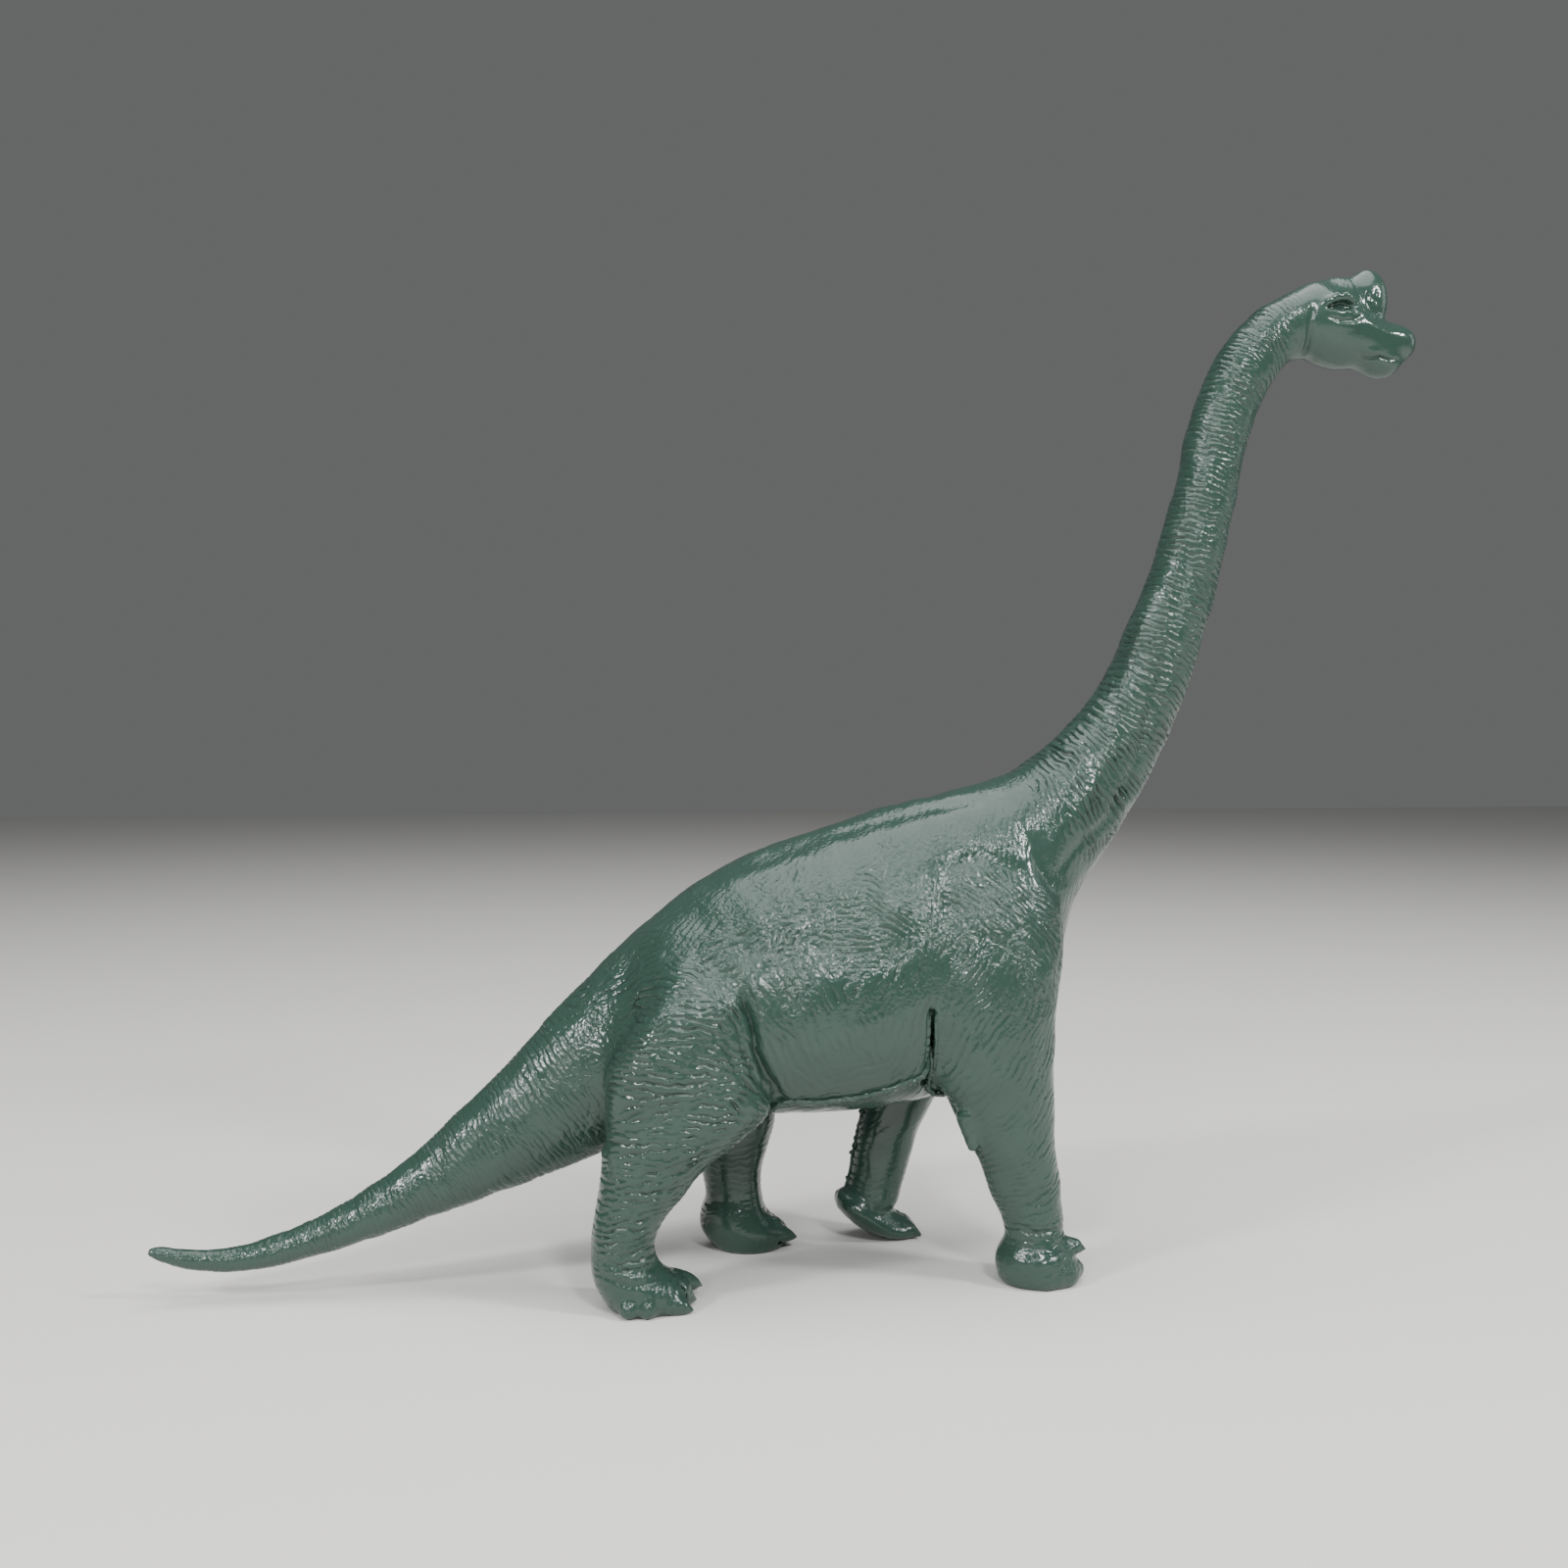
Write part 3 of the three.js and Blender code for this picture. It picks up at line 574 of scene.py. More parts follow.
# Grooves between the toes, as rods that are cut away: root, tip and radius
HIND_CLEFTS = [
    ((2.4, 12.0, 0.0), (2.0, 11.2, 6.0), 0.6),
    ((9.6, 4.8, 0.0), (7.6, 4.9, 7.0), 0.7),
    ((12.8, -1.8, 0.0), (10.2, -1.6, 8.4), 0.6),
    ((-4.3, 12.4, 0.0), (-4.2, 11.6, 5.6), 0.4),
    ((-9.4, 11.0, 0.0), (-9.2, 10.6, 5.4), 0.4),
]
SWUNG_CLEFTS = [
    ((8.0, -8.6, 5.4), (4.0, -9.6, 6.2), 0.8),
    ((10.6, -4.2, 2.2), (6.4, -7.2, 2.8), 0.7),
    ((7.6, -9.2, 0.4), (6.9, -9.4, 4.4), 0.8),
    ((4.2, -10.7, 0.4), (3.9, -10.6, 3.8), 0.7),
]
FORE_CLEFTS = [
    ((10.6, 4.8, 6.2), (13.4, 3.0, 6.0), 1.0),
]
TRAILING_TOES = [
    ((-1.0, -2.6, 4.6), (6.2, -5.4, 1.3), 2.6, 0.7),
    ((-1.0, 1.6, 4.4), (6.0, 1.2, 1.2), 2.6, 0.8),
    ((-3.0, 5.0, 4.0), (2.4, 6.4, 1.4), 2.4, 0.8),
]
FOOT_TOP = 18.0
TRAILING_FOOT_BLEND = 2.0
TOE_BLEND = 1.2
CLEFT_BLEND = 0.6

# The rear of a thigh: how far it stays ahead of the tail's seam, and between which heights
THIGH_REAR_CLEARANCE = 0.9
THIGH_REAR_ROUND = 3.0
SHIN_HEIGHTS = (46, 38)
SHIN_SETBACK = 9
RUMP_HEIGHTS = (60, 94)
RUMP_SETBACK = 15.0
RUMP_ROUND = 11.0

# The elbow's flap of skin: a rod that is added and rods that are cut away, and their radii
ELBOW_FLAP = ((37.4, -26.6, 48.5), (38.9, -27.6, 41.0), 3.0, 1.7)
ELBOW_CUTS = [
    ((40.3, -22.0, 38.2), (40.6, -33.0, 38.9), 0.75),
    ((41.4, -32.6, 37.4), (50.0, -36.4, 42.2), 0.6),
]
ELBOW_BLEND = 2.2
ELBOW_CUT_BLEND = 0.5


def toes_of(item):
    """A foot's toes and the grooves between them."""
    if item.hind:
        return (HIND_TOES, HIND_CLEFTS) if item.side < 0 else (SWUNG_TOES, SWUNG_CLEFTS)
    return (FORE_TOES, FORE_CLEFTS) if item.side < 0 else (TRAILING_TOES, ())


def leg_field(block, item):
    """A leg's distances on a block, with its toes, and its thigh kept ahead of the tail seam."""
    field = block.form(item.name)
    axes = block.axes()
    if item.name == "left_foreleg":
        field = smooth_min(field, block.form("trailing_foot"), TRAILING_FOOT_BLEND)
    if item.hind:
        shin = smoothstep(*SHIN_HEIGHTS, axes[2])
        rump = smoothstep(*RUMP_HEIGHTS, axes[2])
        rear = TAIL_SEAM_X + THIGH_REAR_CLEARANCE - SHIN_SETBACK * shin + RUMP_SETBACK * rump
        round_edge = THIGH_REAR_ROUND + (RUMP_ROUND - THIGH_REAR_ROUND) * rump
        field = smooth_max(field, rear - axes[0], round_edge)
    if item.name == "right_foreleg":
        field = smooth_min(field, capsule(axes, *ELBOW_FLAP), ELBOW_BLEND)
        for start, end, radius in ELBOW_CUTS:
            cut = capsule(axes, start, end, radius, radius)
            field = smooth_max(field, -cut, ELBOW_CUT_BLEND)
    rows = int(np.searchsorted(axes[2].ravel(), FOOT_TOP))
    if rows > 1:
        low = (axes[0], axes[1], axes[2][:, :, :rows])
        part = field[:, :, :rows]
        toes, clefts = toes_of(item)

        def placed(spot):
            """A spot that is set out from the sole's middle, in the frame's axes."""
            return item.sole[0] + spot[0], item.side * (item.sole[1] + spot[1]), spot[2]

        for root, tip, root_radius, tip_radius in toes:
            toe = capsule(low, placed(root), placed(tip), root_radius, tip_radius, TOE_TAPER)
            part = smooth_min(part, toe, TOE_BLEND)
        for root, tip, radius in clefts:
            cleft = capsule(low, placed(root), placed(tip), radius, radius)
            part = smooth_max(part, -cleft, CLEFT_BLEND)
        field[:, :, :rows] = part
    return np.maximum(field, -axes[2])


# Legs and torso melt into each other over this reach, at and above these heights
BLEND_TOP = 9.0
BLEND_FOLD = 1.4
FOLD_HEIGHT = 54.0
FOLD_TOP_HEIGHT = 88.0

# The slot behind the standing foreleg, from the top down: height, x, half its width, inner y
ARMPIT_SLOT = [
    (83.0, 25.8, 0.4, -35.5),
    (78.0, 26.0, 0.55, -31.0),
    (71.0, 26.3, 0.75, -27.5),
    (63.0, 26.6, 0.9, -24.0),
    (53.5, 27.2, 1.0, -22.0),
]
SLOT_BLEND = 0.5

# Moulding leftovers on the body: two ends and two radii
FLASH_LUMPS = [
    ((74.6, -1.0, 109.0), (75.6, 0.6, 104.0), 1.0, 1.6),
    ((-100.8, 0.0, 26.0), (-101.6, 0.0, 23.4), 0.9, 0.5),
]
FLASH_BLEND = 0.6


def armpit_slot(axes):
    """Distance from the wedge behind the standing foreleg, which is cut away."""
    heights, middle, half_width, inner = np.array(ARMPIT_SLOT)[::-1].T
    z = axes[2]
    aside = np.abs(axes[0] - np.interp(z, heights, middle)) - np.interp(z, heights, half_width)
    past_ends = np.maximum(z - heights[-1], heights[0] - z)
    inside = axes[1] - np.interp(z, heights, inner)
    return np.maximum(aside, np.maximum(past_ends, inside))


def body_with_legs(block, names):
    """Fills a block with the torso and the named legs, melted into each other above the folds."""
    axes = block.axes()
    block.body = block.form("body")
    for start, end, start_radius, end_radius in FLASH_LUMPS:
        lump = capsule(axes, start, end, start_radius, end_radius)
        block.body = smooth_min(block.body, lump, FLASH_BLEND)
    block.limb = functools.reduce(np.minimum, [leg_field(block, LEGS[name]) for name in names])
    climb = smoothstep(FOLD_HEIGHT, FOLD_TOP_HEIGHT, axes[2])
    reach = BLEND_FOLD + (BLEND_TOP - BLEND_FOLD) * climb
    block.values = smooth_min(block.body, block.limb, reach)
    block.values = smooth_max(block.values, -armpit_slot(axes), SLOT_BLEND)
    return block


# Lumps of the head: middle, half sizes, turn, and the reach over which each melts in
HEAD_LUMPS = [
    ((171.2, 0, 288.8), (6.2, 5.3, 9.0), 0.0, 2.2),
    ((164.6, 0, 287.4), (10.0, 5.6, 7.0), -0.42, 4.0),
    ((180.4, 0, 275.9), (5.6, 6.0, 4.6), -0.2, 3.0),
    ((176.0, 0, 269.6), (5.0, 5.2, 3.9), 0.12, 2.2),
]
CHIN_ROD = ((181.6, 0, 274.8), (176.8, 0, 269.4), 3.7, 3.4)
CHIN_BLEND = 2.5

# Eyes: the spots of each lid, then the middle, half sizes and turn of slit and ball
UPPER_LID = [
    (150.8, 8.6, 283.3),
    (153.4, 9.0, 285.1),
    (156.4, 9.1, 286.6),
    (159.6, 8.9, 286.9),
    (163.4, 8.0, 285.2),
]
LOWER_LID = [
    (152.6, 9.0, 282.6),
    (156.4, 9.25, 281.5),
    (160.2, 9.0, 281.8),
    (163.4, 8.1, 283.4),
]
UPPER_LID_RADIUS = 1.1
UPPER_LID_BLEND = 1.0
LOWER_LID_RADIUS = 0.7
LOWER_LID_BLEND = 0.8
EYE_SLIT = ((158.0, 10.4, 284.1), (5.4, 3.7, 1.8), 0.08)
EYE_SLIT_BLEND = 0.8
EYE_BALL = ((158.4, 5.8, 284.3), (3.3, 1.9, 1.9), 0.0)
EYE_BALL_BLEND = 0.3
LID_END_SHARE = 0.45
HEAD_START_X = 140.0
HEAD_START_Z = 258.0


def mirrored(spot, side):
    """A spot of the left side, or for side -1 the same spot of the right side."""
    return spot[0], side * spot[1], spot[2]


def ridge_along(field, axes, spots, side, radius, reach):
    """A field with a rod through the spots melted in, thinner at its two ends."""
    for k in range(len(spots) - 1):
        ends = mirrored(spots[k], side), mirrored(spots[k + 1], side)
        first = radius if k else radius * LID_END_SHARE
        last = radius if k < len(spots) - 2 else radius * LID_END_SHARE
        field = smooth_min(field, capsule(axes, *ends, first, last), reach)
    return field


def body_with_head(block):
    """Fills a block with the neck and the head: crest, lids, cheeks, muzzle and eyes."""
    axes = block.axes()
    field = block.form("body")
    head_first = int(np.searchsorted(axes[0].ravel(), HEAD_START_X))
    head_floor = int(np.searchsorted(axes[2].ravel(), HEAD_START_Z))
    near = (axes[0][head_first:], axes[1], axes[2][:, :, head_floor:])
    part = field[head_first:, :, head_floor:]
    for centre, half_sizes, turn, reach in HEAD_LUMPS:
        part = smooth_min(part, ellipsoid(near, centre, half_sizes, turn), reach)
    part = smooth_min(part, capsule(near, *CHIN_ROD), CHIN_BLEND)
    for side in (1, -1):
        slit = ellipsoid(near, mirrored(EYE_SLIT[0], side), *EYE_SLIT[1:])
        part = smooth_max(part, -slit, EYE_SLIT_BLEND)
        part = ridge_along(part, near, UPPER_LID, side, UPPER_LID_RADIUS, UPPER_LID_BLEND)
        part = ridge_along(part, near, LOWER_LID, side, LOWER_LID_RADIUS, LOWER_LID_BLEND)
        ball = ellipsoid(near, mirrored(EYE_BALL[0], side), *EYE_BALL[1:])
        part = smooth_min(part, ball, EYE_BALL_BLEND)
    field[head_first:, :, head_floor:] = part
    block.values = field
    return block


# Skins: smooth meshes of a block's surface, before anything is sculpted on them

SURFACE_CORRECTIONS = 2
SEAM_MARGIN_CELLS = 4


def triangulated(quads):
    """Two triangles for each quad."""
    return np.vstack([quads[:, [0, 1, 2]], quads[:, [0, 2, 3]]])


def surface(block):
    """The zero surface of a block: points on it, triangles that face out, unit normals."""
    grid = openvdb.FloatGrid(SURFACE_BAND)
    values = np.clip(block.values, -SURFACE_BAND, SURFACE_BAND)
    grid.copyFromArray(np.ascontiguousarray(values), ijk=(0, 0, 0), tolerance=0.0)
    points, quads = grid.convertToQuads(isovalue=0.0)
    points = (points.astype(float) + block.first) * block.cell
    for _ in range(SURFACE_CORRECTIONS):
        points -= block.slopes(points) * block.at(points)[:, None]
    return points, triangulated(quads.astype(np.int64)), block.slopes(points)


def face_up(points, triangles, normals):
    """Turns all triangles over if they face against the normals."""
    first, second, third = (points[triangles[:, k]] for k in range(3))
    facing = np.cross(second - first, third - first)
    if (facing * normals[triangles[:, 0]]).sum() < 0:
        return triangles[:, ::-1]
    return triangles


# The corners of the blocks that the skins are taken from, and the width of their cells
TORSO_BOX = ((-70, -37, 32), (90, 37, 152))
NECK_BOX = ((60, -18, 104), (192, 18, 304))
TAIL_BOX = ((-190, -34, 0), (-60, 34, 96))
LEG_MARGIN = (11, 5, 4)
LEG_FLOOR = -2
TORSO_CELL = 0.68
LEG_CELL = 0.46
NECK_CELL = 0.47
TAIL_CELL = 0.44

# Belly panel: its rim stays clear of the legs, and climbs a little towards the forelegs
BELLY_CLEARANCE = 2.2
BELLY_RECESS = 0.7
BELLY_FRONT_RISE = 3.0
BELLY_FRONT_FROM = -5
BELLY_FRONT_TO = 24
BELLY_TOP = 80.0
BELLY_LIMIT = 20


def belly_level(block, points):
    """Over zero inside the belly panel's outline, seen from below and clear of the legs."""
    straight = (BELLY_LENGTH - BELLY_WIDTH) / 2
    along = np.maximum(np.abs(points[:, 0] - BELLY_X) - straight, 0)
    outline = BELLY_WIDTH / 2 - np.hypot(along, points[:, 1])
    outline += BELLY_FRONT_RISE * smoothstep(BELLY_FRONT_FROM, BELLY_FRONT_TO, points[:, 0])
    legs = block.at(points, block.limb) - block.at(points, block.body) - BELLY_CLEARANCE
    low = np.clip(BELLY_TOP - points[:, 2], -BELLY_LIMIT, BELLY_LIMIT)
    return np.minimum(np.minimum(outline, legs), low)


def neck_level(points):
    """Over zero ahead of the neck seam."""
    return (points - np.array([NECK_SEAM_X, 0, NECK_SEAM_Z])) @ NECK_SEAM_AXIS


@functools.lru_cache(maxsize=None)
def skin_of(name):
    """A piece's smooth skin, run on a little beyond its seams, with its level over zero inside."""
    if name in ("torso_shell", "belly_panel"):
        block = body_with_legs(Block(*TORSO_BOX, TORSO_CELL), tuple(LEGS))
        points, triangles, normals = surface(block)
        legs = block.at(points, block.limb) - block.at(points, block.body)
        tail = points[:, 0] - TAIL_SEAM_X
        belly = belly_level(block, points)
        shell = np.minimum.reduce([legs, tail, -neck_level(points), -belly])
        level = shell if name == "torso_shell" else np.minimum(belly, tail)
    elif name in LEGS:
        block = body_with_legs(Block(*leg_box(LEGS[name]), LEG_CELL), (name,))
        points, triangles, normals = surface(block)
        level = block.at(points, block.body) - block.at(points, block.limb)
    elif name == "neck_and_head":
        block = body_with_head(Block(*NECK_BOX, NECK_CELL))
        points, triangles, normals = surface(block)
        level = neck_level(points)
    else:
        block = Block(*TAIL_BOX, TAIL_CELL)
        body_with_legs(block, ("right_hind_leg", "left_hind_leg"))
        thin = block.form("tail", TAIL_FORM_CELL, TAIL_FORM_BAND)
        block.values = np.minimum(block.values, thin)
        points, triangles, normals = surface(block)
        legs = block.at(points, block.limb) - block.at(points, block.body)
        level = np.minimum(TAIL_SEAM_X - points[:, 0], legs)
    near = level > -SEAM_MARGIN_CELLS * block.cell
    triangles = triangles[near[triangles].any(1)]
    used, triangles = np.unique(triangles, return_inverse=True)
    triangles = face_up(points[used], triangles.reshape(-1, 3), normals[used])
    return SimpleNamespace(
        name=name, triangles=triangles,
        points=points[used], normals=normals[used], level=level[used],
    )


def leg_box(item):
    """The corners of a leg's block: all of its form with a margin."""
    rings = leg_rings(item).reshape(-1, 3)
    if item.name == "left_foreleg":
        rings = np.vstack([rings, trailing_foot_rings(item).reshape(-1, 3)])
    low = rings.min(0) - LEG_MARGIN
    high = rings.max(0) + LEG_MARGIN
    low[2] = LEG_FLOOR
    return tuple(low), tuple(high)


SKIN_NAMES = ("torso_shell", "belly_panel", *LEGS, "neck_and_head", "tail")


# Wrinkles: waves whose lines follow guides, summed from many small patches

# Guides on the body: x, z, angle of the lines seen from the right, spacing, depth, crinkles
BODY_GUIDES = [
    (-58, 88, 30, 2.3, 0.16, 0.8),
    (-42, 104, 42, 2.2, 0.1, 0.5),
    (-20, 112, 50, 2.2, 0.06, 0.4),
    (0, 121, 60, 2.0, 0.05, 0.5),
    (24, 124, 70, 2.0, 0.05, 0.6),
    (-26, 98, 30, 2.2, 0.22, 1.0),
    (-12, 107, 20, 2.1, 0.22, 1.0),
    (4, 110, 4, 2.0, 0.2, 1.0),
    (14, 106, -28, 2.0, 0.2, 1.0),
    (-14, 96, 60, 2.1, 0.2, 1.0),
    (-6, 92, -50, 2.1, 0.16, 1.0),
    (6, 98, 0, 1.9, 0.22, 1.0),
    (20, 98, 75, 2.0, 0.2, 0.9),
    (-16, 84, -62, 2.6, 0.2, 0.7),
    (-8, 74, -66, 2.6, 0.12, 0.3),
    (4, 74, -60, 2.6, 0.1, 0.2),
    (12, 84, 62, 2.5, 0.14, 0.4),
    (18, 72, 72, 2.5, 0.12, 0.2),
    (2, 60, 12, 2.4, 0.06, 0.2),
    (42, 107, -30, 1.9, 0.2, 1.0),
    (52, 99, -55, 1.9, 0.18, 1.0),
    (33, 100, 62, 1.9, 0.18, 1.0),
    (62, 118, 70, 2.2, 0.05, 0.2),
    (74, 106, 80, 2.2, 0.08, 0.3),
    (-30, 120, 62, 1.8, 0.04, 0.3),
    (0, 132, 66, 1.8, 0.04, 0.2),
    (36, 142, 70, 1.8, 0.04, 0.2),
]

# Spacing of the lines that ring the tail and the neck, at the first and the last row of each
TAIL_SPACING = (1.3, 1.7)
NECK_SPACING = (2.0, 1.25)

# Guides on a leg: x from its centre line, height, angle, spacing, depth, crinkles
HIND_GUIDES = [
    (-14, 90, 24, 2.0, 0.2, 0.8),
    (6, 92, -10, 2.0, 0.2, 0.9),
    (-14, 78, 8, 2.0, 0.26, 0.5),
    (2, 78, -4, 2.1, 0.24, 0.6),
    (16, 76, -52, 2.2, 0.28, 0.5),
    (-10, 62, 4, 2.1, 0.26, 0.3),
    (6, 60, 6, 2.2, 0.28, 0.3),
    (17, 60, -44, 2.2, 0.28, 0.3),
    (-10, 46, 14, 2.1, 0.24, 0.3),
    (8, 46, 22, 2.1, 0.28, 0.3),
    (0, 33, 10, 2.2, 0.26, 0.3),
    (0, 23, 4, 2.1, 0.24, 0.4),
    (0, 15, 0, 2.0, 0.24, 0.5),
    (0, 5, 80, 1.8, 0.06, 0.4),
]
FORE_GUIDES = [
    (0, 106, -30, 1.9, 0.2, 1.0),
    (-8, 92, 60, 2.1, 0.14, 0.6),
    (8, 92, -58, 2.1, 0.18, 0.9),
    (-6, 74, 56, 2.1, 0.08, 0.2),
    (9, 76, 66, 2.0, 0.14, 0.7),
    (-4, 58, 50, 2.1, 0.09, 0.2),
    (6, 50, 46, 2.0, 0.1, 0.3),
    (0, 38, 40, 1.9, 0.12, 0.3),
    (0, 27, 26, 1.8, 0.14, 0.4),
    (0, 17, 4, 1.9, 0.18, 0.5),
    (0, 6, 20, 1.8, 0.08, 0.8),
]


def between(ends, share):
    """The value a share of the way from the first end to the second."""
    return ends[0] * (1 - share) + ends[1] * share


def spine_guides():
    """Guides along the tail and the neck, whose lines ring them."""
    guides = []
    neck_first = TAIL_COUNT + TORSO_COUNT
    for index, (x, z, _, _, _, lean) in enumerate(BODY_ROWS):
        angle = 90 + lean * 90
        if index < TAIL_COUNT:
            share = index / TAIL_COUNT
            guides.append((x, z, angle, between(TAIL_SPACING, share), 0.08 + 0.06 * share, 0.5))
        elif index >= neck_first:
            share = (index - neck_first) / (len(BODY_ROWS) - neck_first)
            depth = 0.2 * (1 - share) + 0.09
            guides.append((x, z, angle, between(NECK_SPACING, share), depth, 0.5 - 0.2 * share))
    return guides


GUIDE_REACH = 10
GUIDE_SOFTNESS = 0.08


def guided(guides, x, z):
    """Angle of the lines, spacing, depth and crinkles at places, averaged from near guides."""
    guides = np.array(guides, float)
    gap = (x[:, None] - guides[None, :, 0]) ** 2 + (z[:, None] - guides[None, :, 1]) ** 2
    weight = 1 / (gap / GUIDE_REACH**2 + GUIDE_SOFTNESS) ** 2
    weight /= weight.sum(1, keepdims=True)
    double = np.radians(guides[:, 2]) * 2
    angle = np.arctan2(weight @ np.sin(double), weight @ np.cos(double)) / 2
    return angle, *(weight @ guides[:, 3:]).T


def leg_line(item, z):
    """The x of a leg's centre line at heights."""
    heights = item.rows[::-1, 0] * item.height
    return np.interp(z, heights, item.x + item.rows[::-1, 1] * item.height)


# Patches: their spread across and along the lines in line spacings, how many lie over each
# other, how far they reach, and the finest spacing of lines
PATCH_ACROSS = 0.9
PATCH_ALONG = 3.0
PATCH_OVERLAP = 8.0
PATCH_REACH = 10.0
FINEST_SPACING = 1.2

# How far angles and spacings wander from the guides, over lumps of what width, and how far
# each patch jitters on its own
ANGLE_LUMPS = 17
PATCH_WANDER = 0.2
SPINE_WANDER = 0.07
PATCH_JITTER = 0.1
SPACING_LUMPS = 12
SPACING_WANDER = 0.2
SPACING_JITTER = 0.08

# The inner sides of the legs are calmer: by how much, and where their skin counts as inner
CALM_INSIDE = 0.25
INNER_TO_OUTER = (-0.4, 0.3)

# A patch fades where its waves would run straight into the skin
LEAST_SLANT = (0.1, 0.5)

# The wrinkles fade where near patches disagree: the agreement that gives none, and all of them
AGREEMENT = (0.04, 0.22)


def guided_on(name, places):
    """What the guides of a piece's own kind say at places on it."""
    if name in LEGS:
        item = LEGS[name]
        guides = HIND_GUIDES if item.hind else FORE_GUIDES
        return guided(guides, places[:, 0] - leg_line(item, places[:, 2]), places[:, 2])
    return guided(BODY_GUIDES + spine_guides(), places[:, 0], places[:, 2])


def outward_share(name, normals):
    """Near 1 on the side of a piece that faces away from the figure's middle."""
    if name not in LEGS:
        return np.ones(len(normals))
    side = LEGS[name].side
    return CALM_INSIDE + (1 - CALM_INSIDE) * smoothstep(*INNER_TO_OUTER, normals[:, 1] * side)


@functools.lru_cache(maxsize=None)
def wrinkle_patches():
    """Patches at seeded random places on all skins: place, direction, spacing, depth, phase."""
    random = np.random.default_rng(SEED)
    rows = []
    for name in SKIN_NAMES:
        skin = skin_of(name)
        owned = (skin.level[skin.triangles] > 0).all(1)
        corners = skin.points[skin.triangles[owned]]
        facing = np.cross(corners[:, 1] - corners[:, 0], corners[:, 2] - corners[:, 0])
        area = np.linalg.norm(facing, axis=1) / 2
        most = PATCH_OVERLAP / (2 * math.pi * PATCH_ACROSS * PATCH_ALONG * FINEST_SPACING**2)
        count = int(area.sum() * most)
        pick = random.choice(len(area), count, p=area / area.sum())
        share = random.dirichlet((1, 1, 1), count)
        place = (corners[pick] * share[:, :, None]).sum(1)
        normal = facing[pick] / (2 * area[pick, None] + 1e-12)
        angle, spacing, depth, _ = guided_on(name, place)
        depth = depth * outward_share(name, normal)
        wander = SPINE_WANDER if name in ("tail", "neck_and_head") else PATCH_WANDER
        drift = wander * lumps_at(place, ANGLE_LUMPS, SEED + 5)
        angle += drift + random.normal(0, PATCH_JITTER, count)
        drift = SPACING_WANDER * lumps_at(place, SPACING_LUMPS, SEED + 6)
        spacing *= np.exp(drift + random.normal(0, SPACING_JITTER, count))
        across = np.stack([-np.sin(angle), np.zeros(count), np.cos(angle)], -1)
        across[across @ np.array([-1, 0, 1]) < 0] *= -1
        across = across - (across * normal).sum(1)[:, None] * normal
        steep = np.linalg.norm(across, axis=1)
        across /= steep[:, None] + 1e-9
        depth = depth * smoothstep(*LEAST_SLANT, steep)
        keep = random.random(count) < (FINEST_SPACING / spacing) ** 2
        phase = random.random(count) * 2 * math.pi
        rows.append(np.column_stack([place, across, spacing, depth, phase])[keep])
    return np.vstack(rows).astype(np.float32)


def wrinkles_at(points):
    """The waves at points: cosine and sine of their phase, and their depth in millimetres."""
    patches = wrinkle_patches()
    home = {}
    for index, key in enumerate(map(tuple, np.floor(patches[:, :3] / PATCH_REACH).astype(int))):
        home.setdefault(key, []).append(index)
    keys = np.floor(points / PATCH_REACH).astype(int)
    cells, group = np.unique(keys, axis=0, return_inverse=True)
    order = np.argsort(group.ravel(), kind="stable")
    ends = np.cumsum(np.bincount(group.ravel(), minlength=len(cells)))
    around = [(i, j, k) for i in (-1, 0, 1) for j in (-1, 0, 1) for k in (-1, 0, 1)]
    result = np.zeros((len(points), 3), np.float32)
    begin = 0
    for cell, end in zip(cells, ends):
        members = order[begin:end]
        begin = end
        chosen = [i for step in around for i in home.get(tuple(cell + step), ())]
        if not chosen:
            continue
        patch = patches[chosen]
        spacing, depth, turn = patch[:, 6:].T
        middle = patch[:, :3].mean(0)
        here = (points[members] - middle).astype(np.float32)
        there = patch[:, :3] - middle
        across = patch[:, 3:6]
        along = here @ across.T - (there * across).sum(1)
        square = (here**2).sum(1)[:, None] + (there**2).sum(1) - 2 * here @ there.T
        square = np.maximum(square, 0)
        narrow = 1 / (2 * (PATCH_ACROSS * spacing) ** 2)
        wide = 1 / (2 * (PATCH_ALONG * spacing) ** 2)
        weight = np.exp(-(along**2) * (narrow - wide) - square * wide)
        weight *= np.maximum(1 - square / PATCH_REACH**2, 0) ** 2
        phase = along * (2 * math.pi / spacing) + turn
        cosine = (weight * np.cos(phase)).sum(1)
        sine = (weight * np.sin(phase)).sum(1)
        total = weight.sum(1) + 1e-6
        size = np.hypot(cosine, sine) + 1e-6
        agreed = smoothstep(*AGREEMENT, size / total)
        result[members, 0] = cosine / size
        result[members, 1] = sine / size
        result[members, 2] = (weight @ depth) / total * agreed
    return result


def lumps_at(points, size, seed):
    """Soft noise between -1 and 1 whose features are about size wide."""
    random = np.random.default_rng(seed)
    total = np.zeros(len(points))
    waves = 12
    for _ in range(waves):
        direction = random.normal(size=3)
        direction /= np.linalg.norm(direction)
        rate = 2 * math.pi / (size * random.uniform(0.7, 1.6))
        total += np.sin(points @ direction * rate + random.uniform(0, 2 * math.pi))
    return total / math.sqrt(waves)


RIDGE_HEIGHT = 0.3
CREASE_NARROWNESS = 2.2


def ridge(cosine):
    """A wave's height: rounded ridges with narrower creases between them."""
    return RIDGE_HEIGHT - (0.5 - 0.5 * cosine) ** CREASE_NARROWNESS


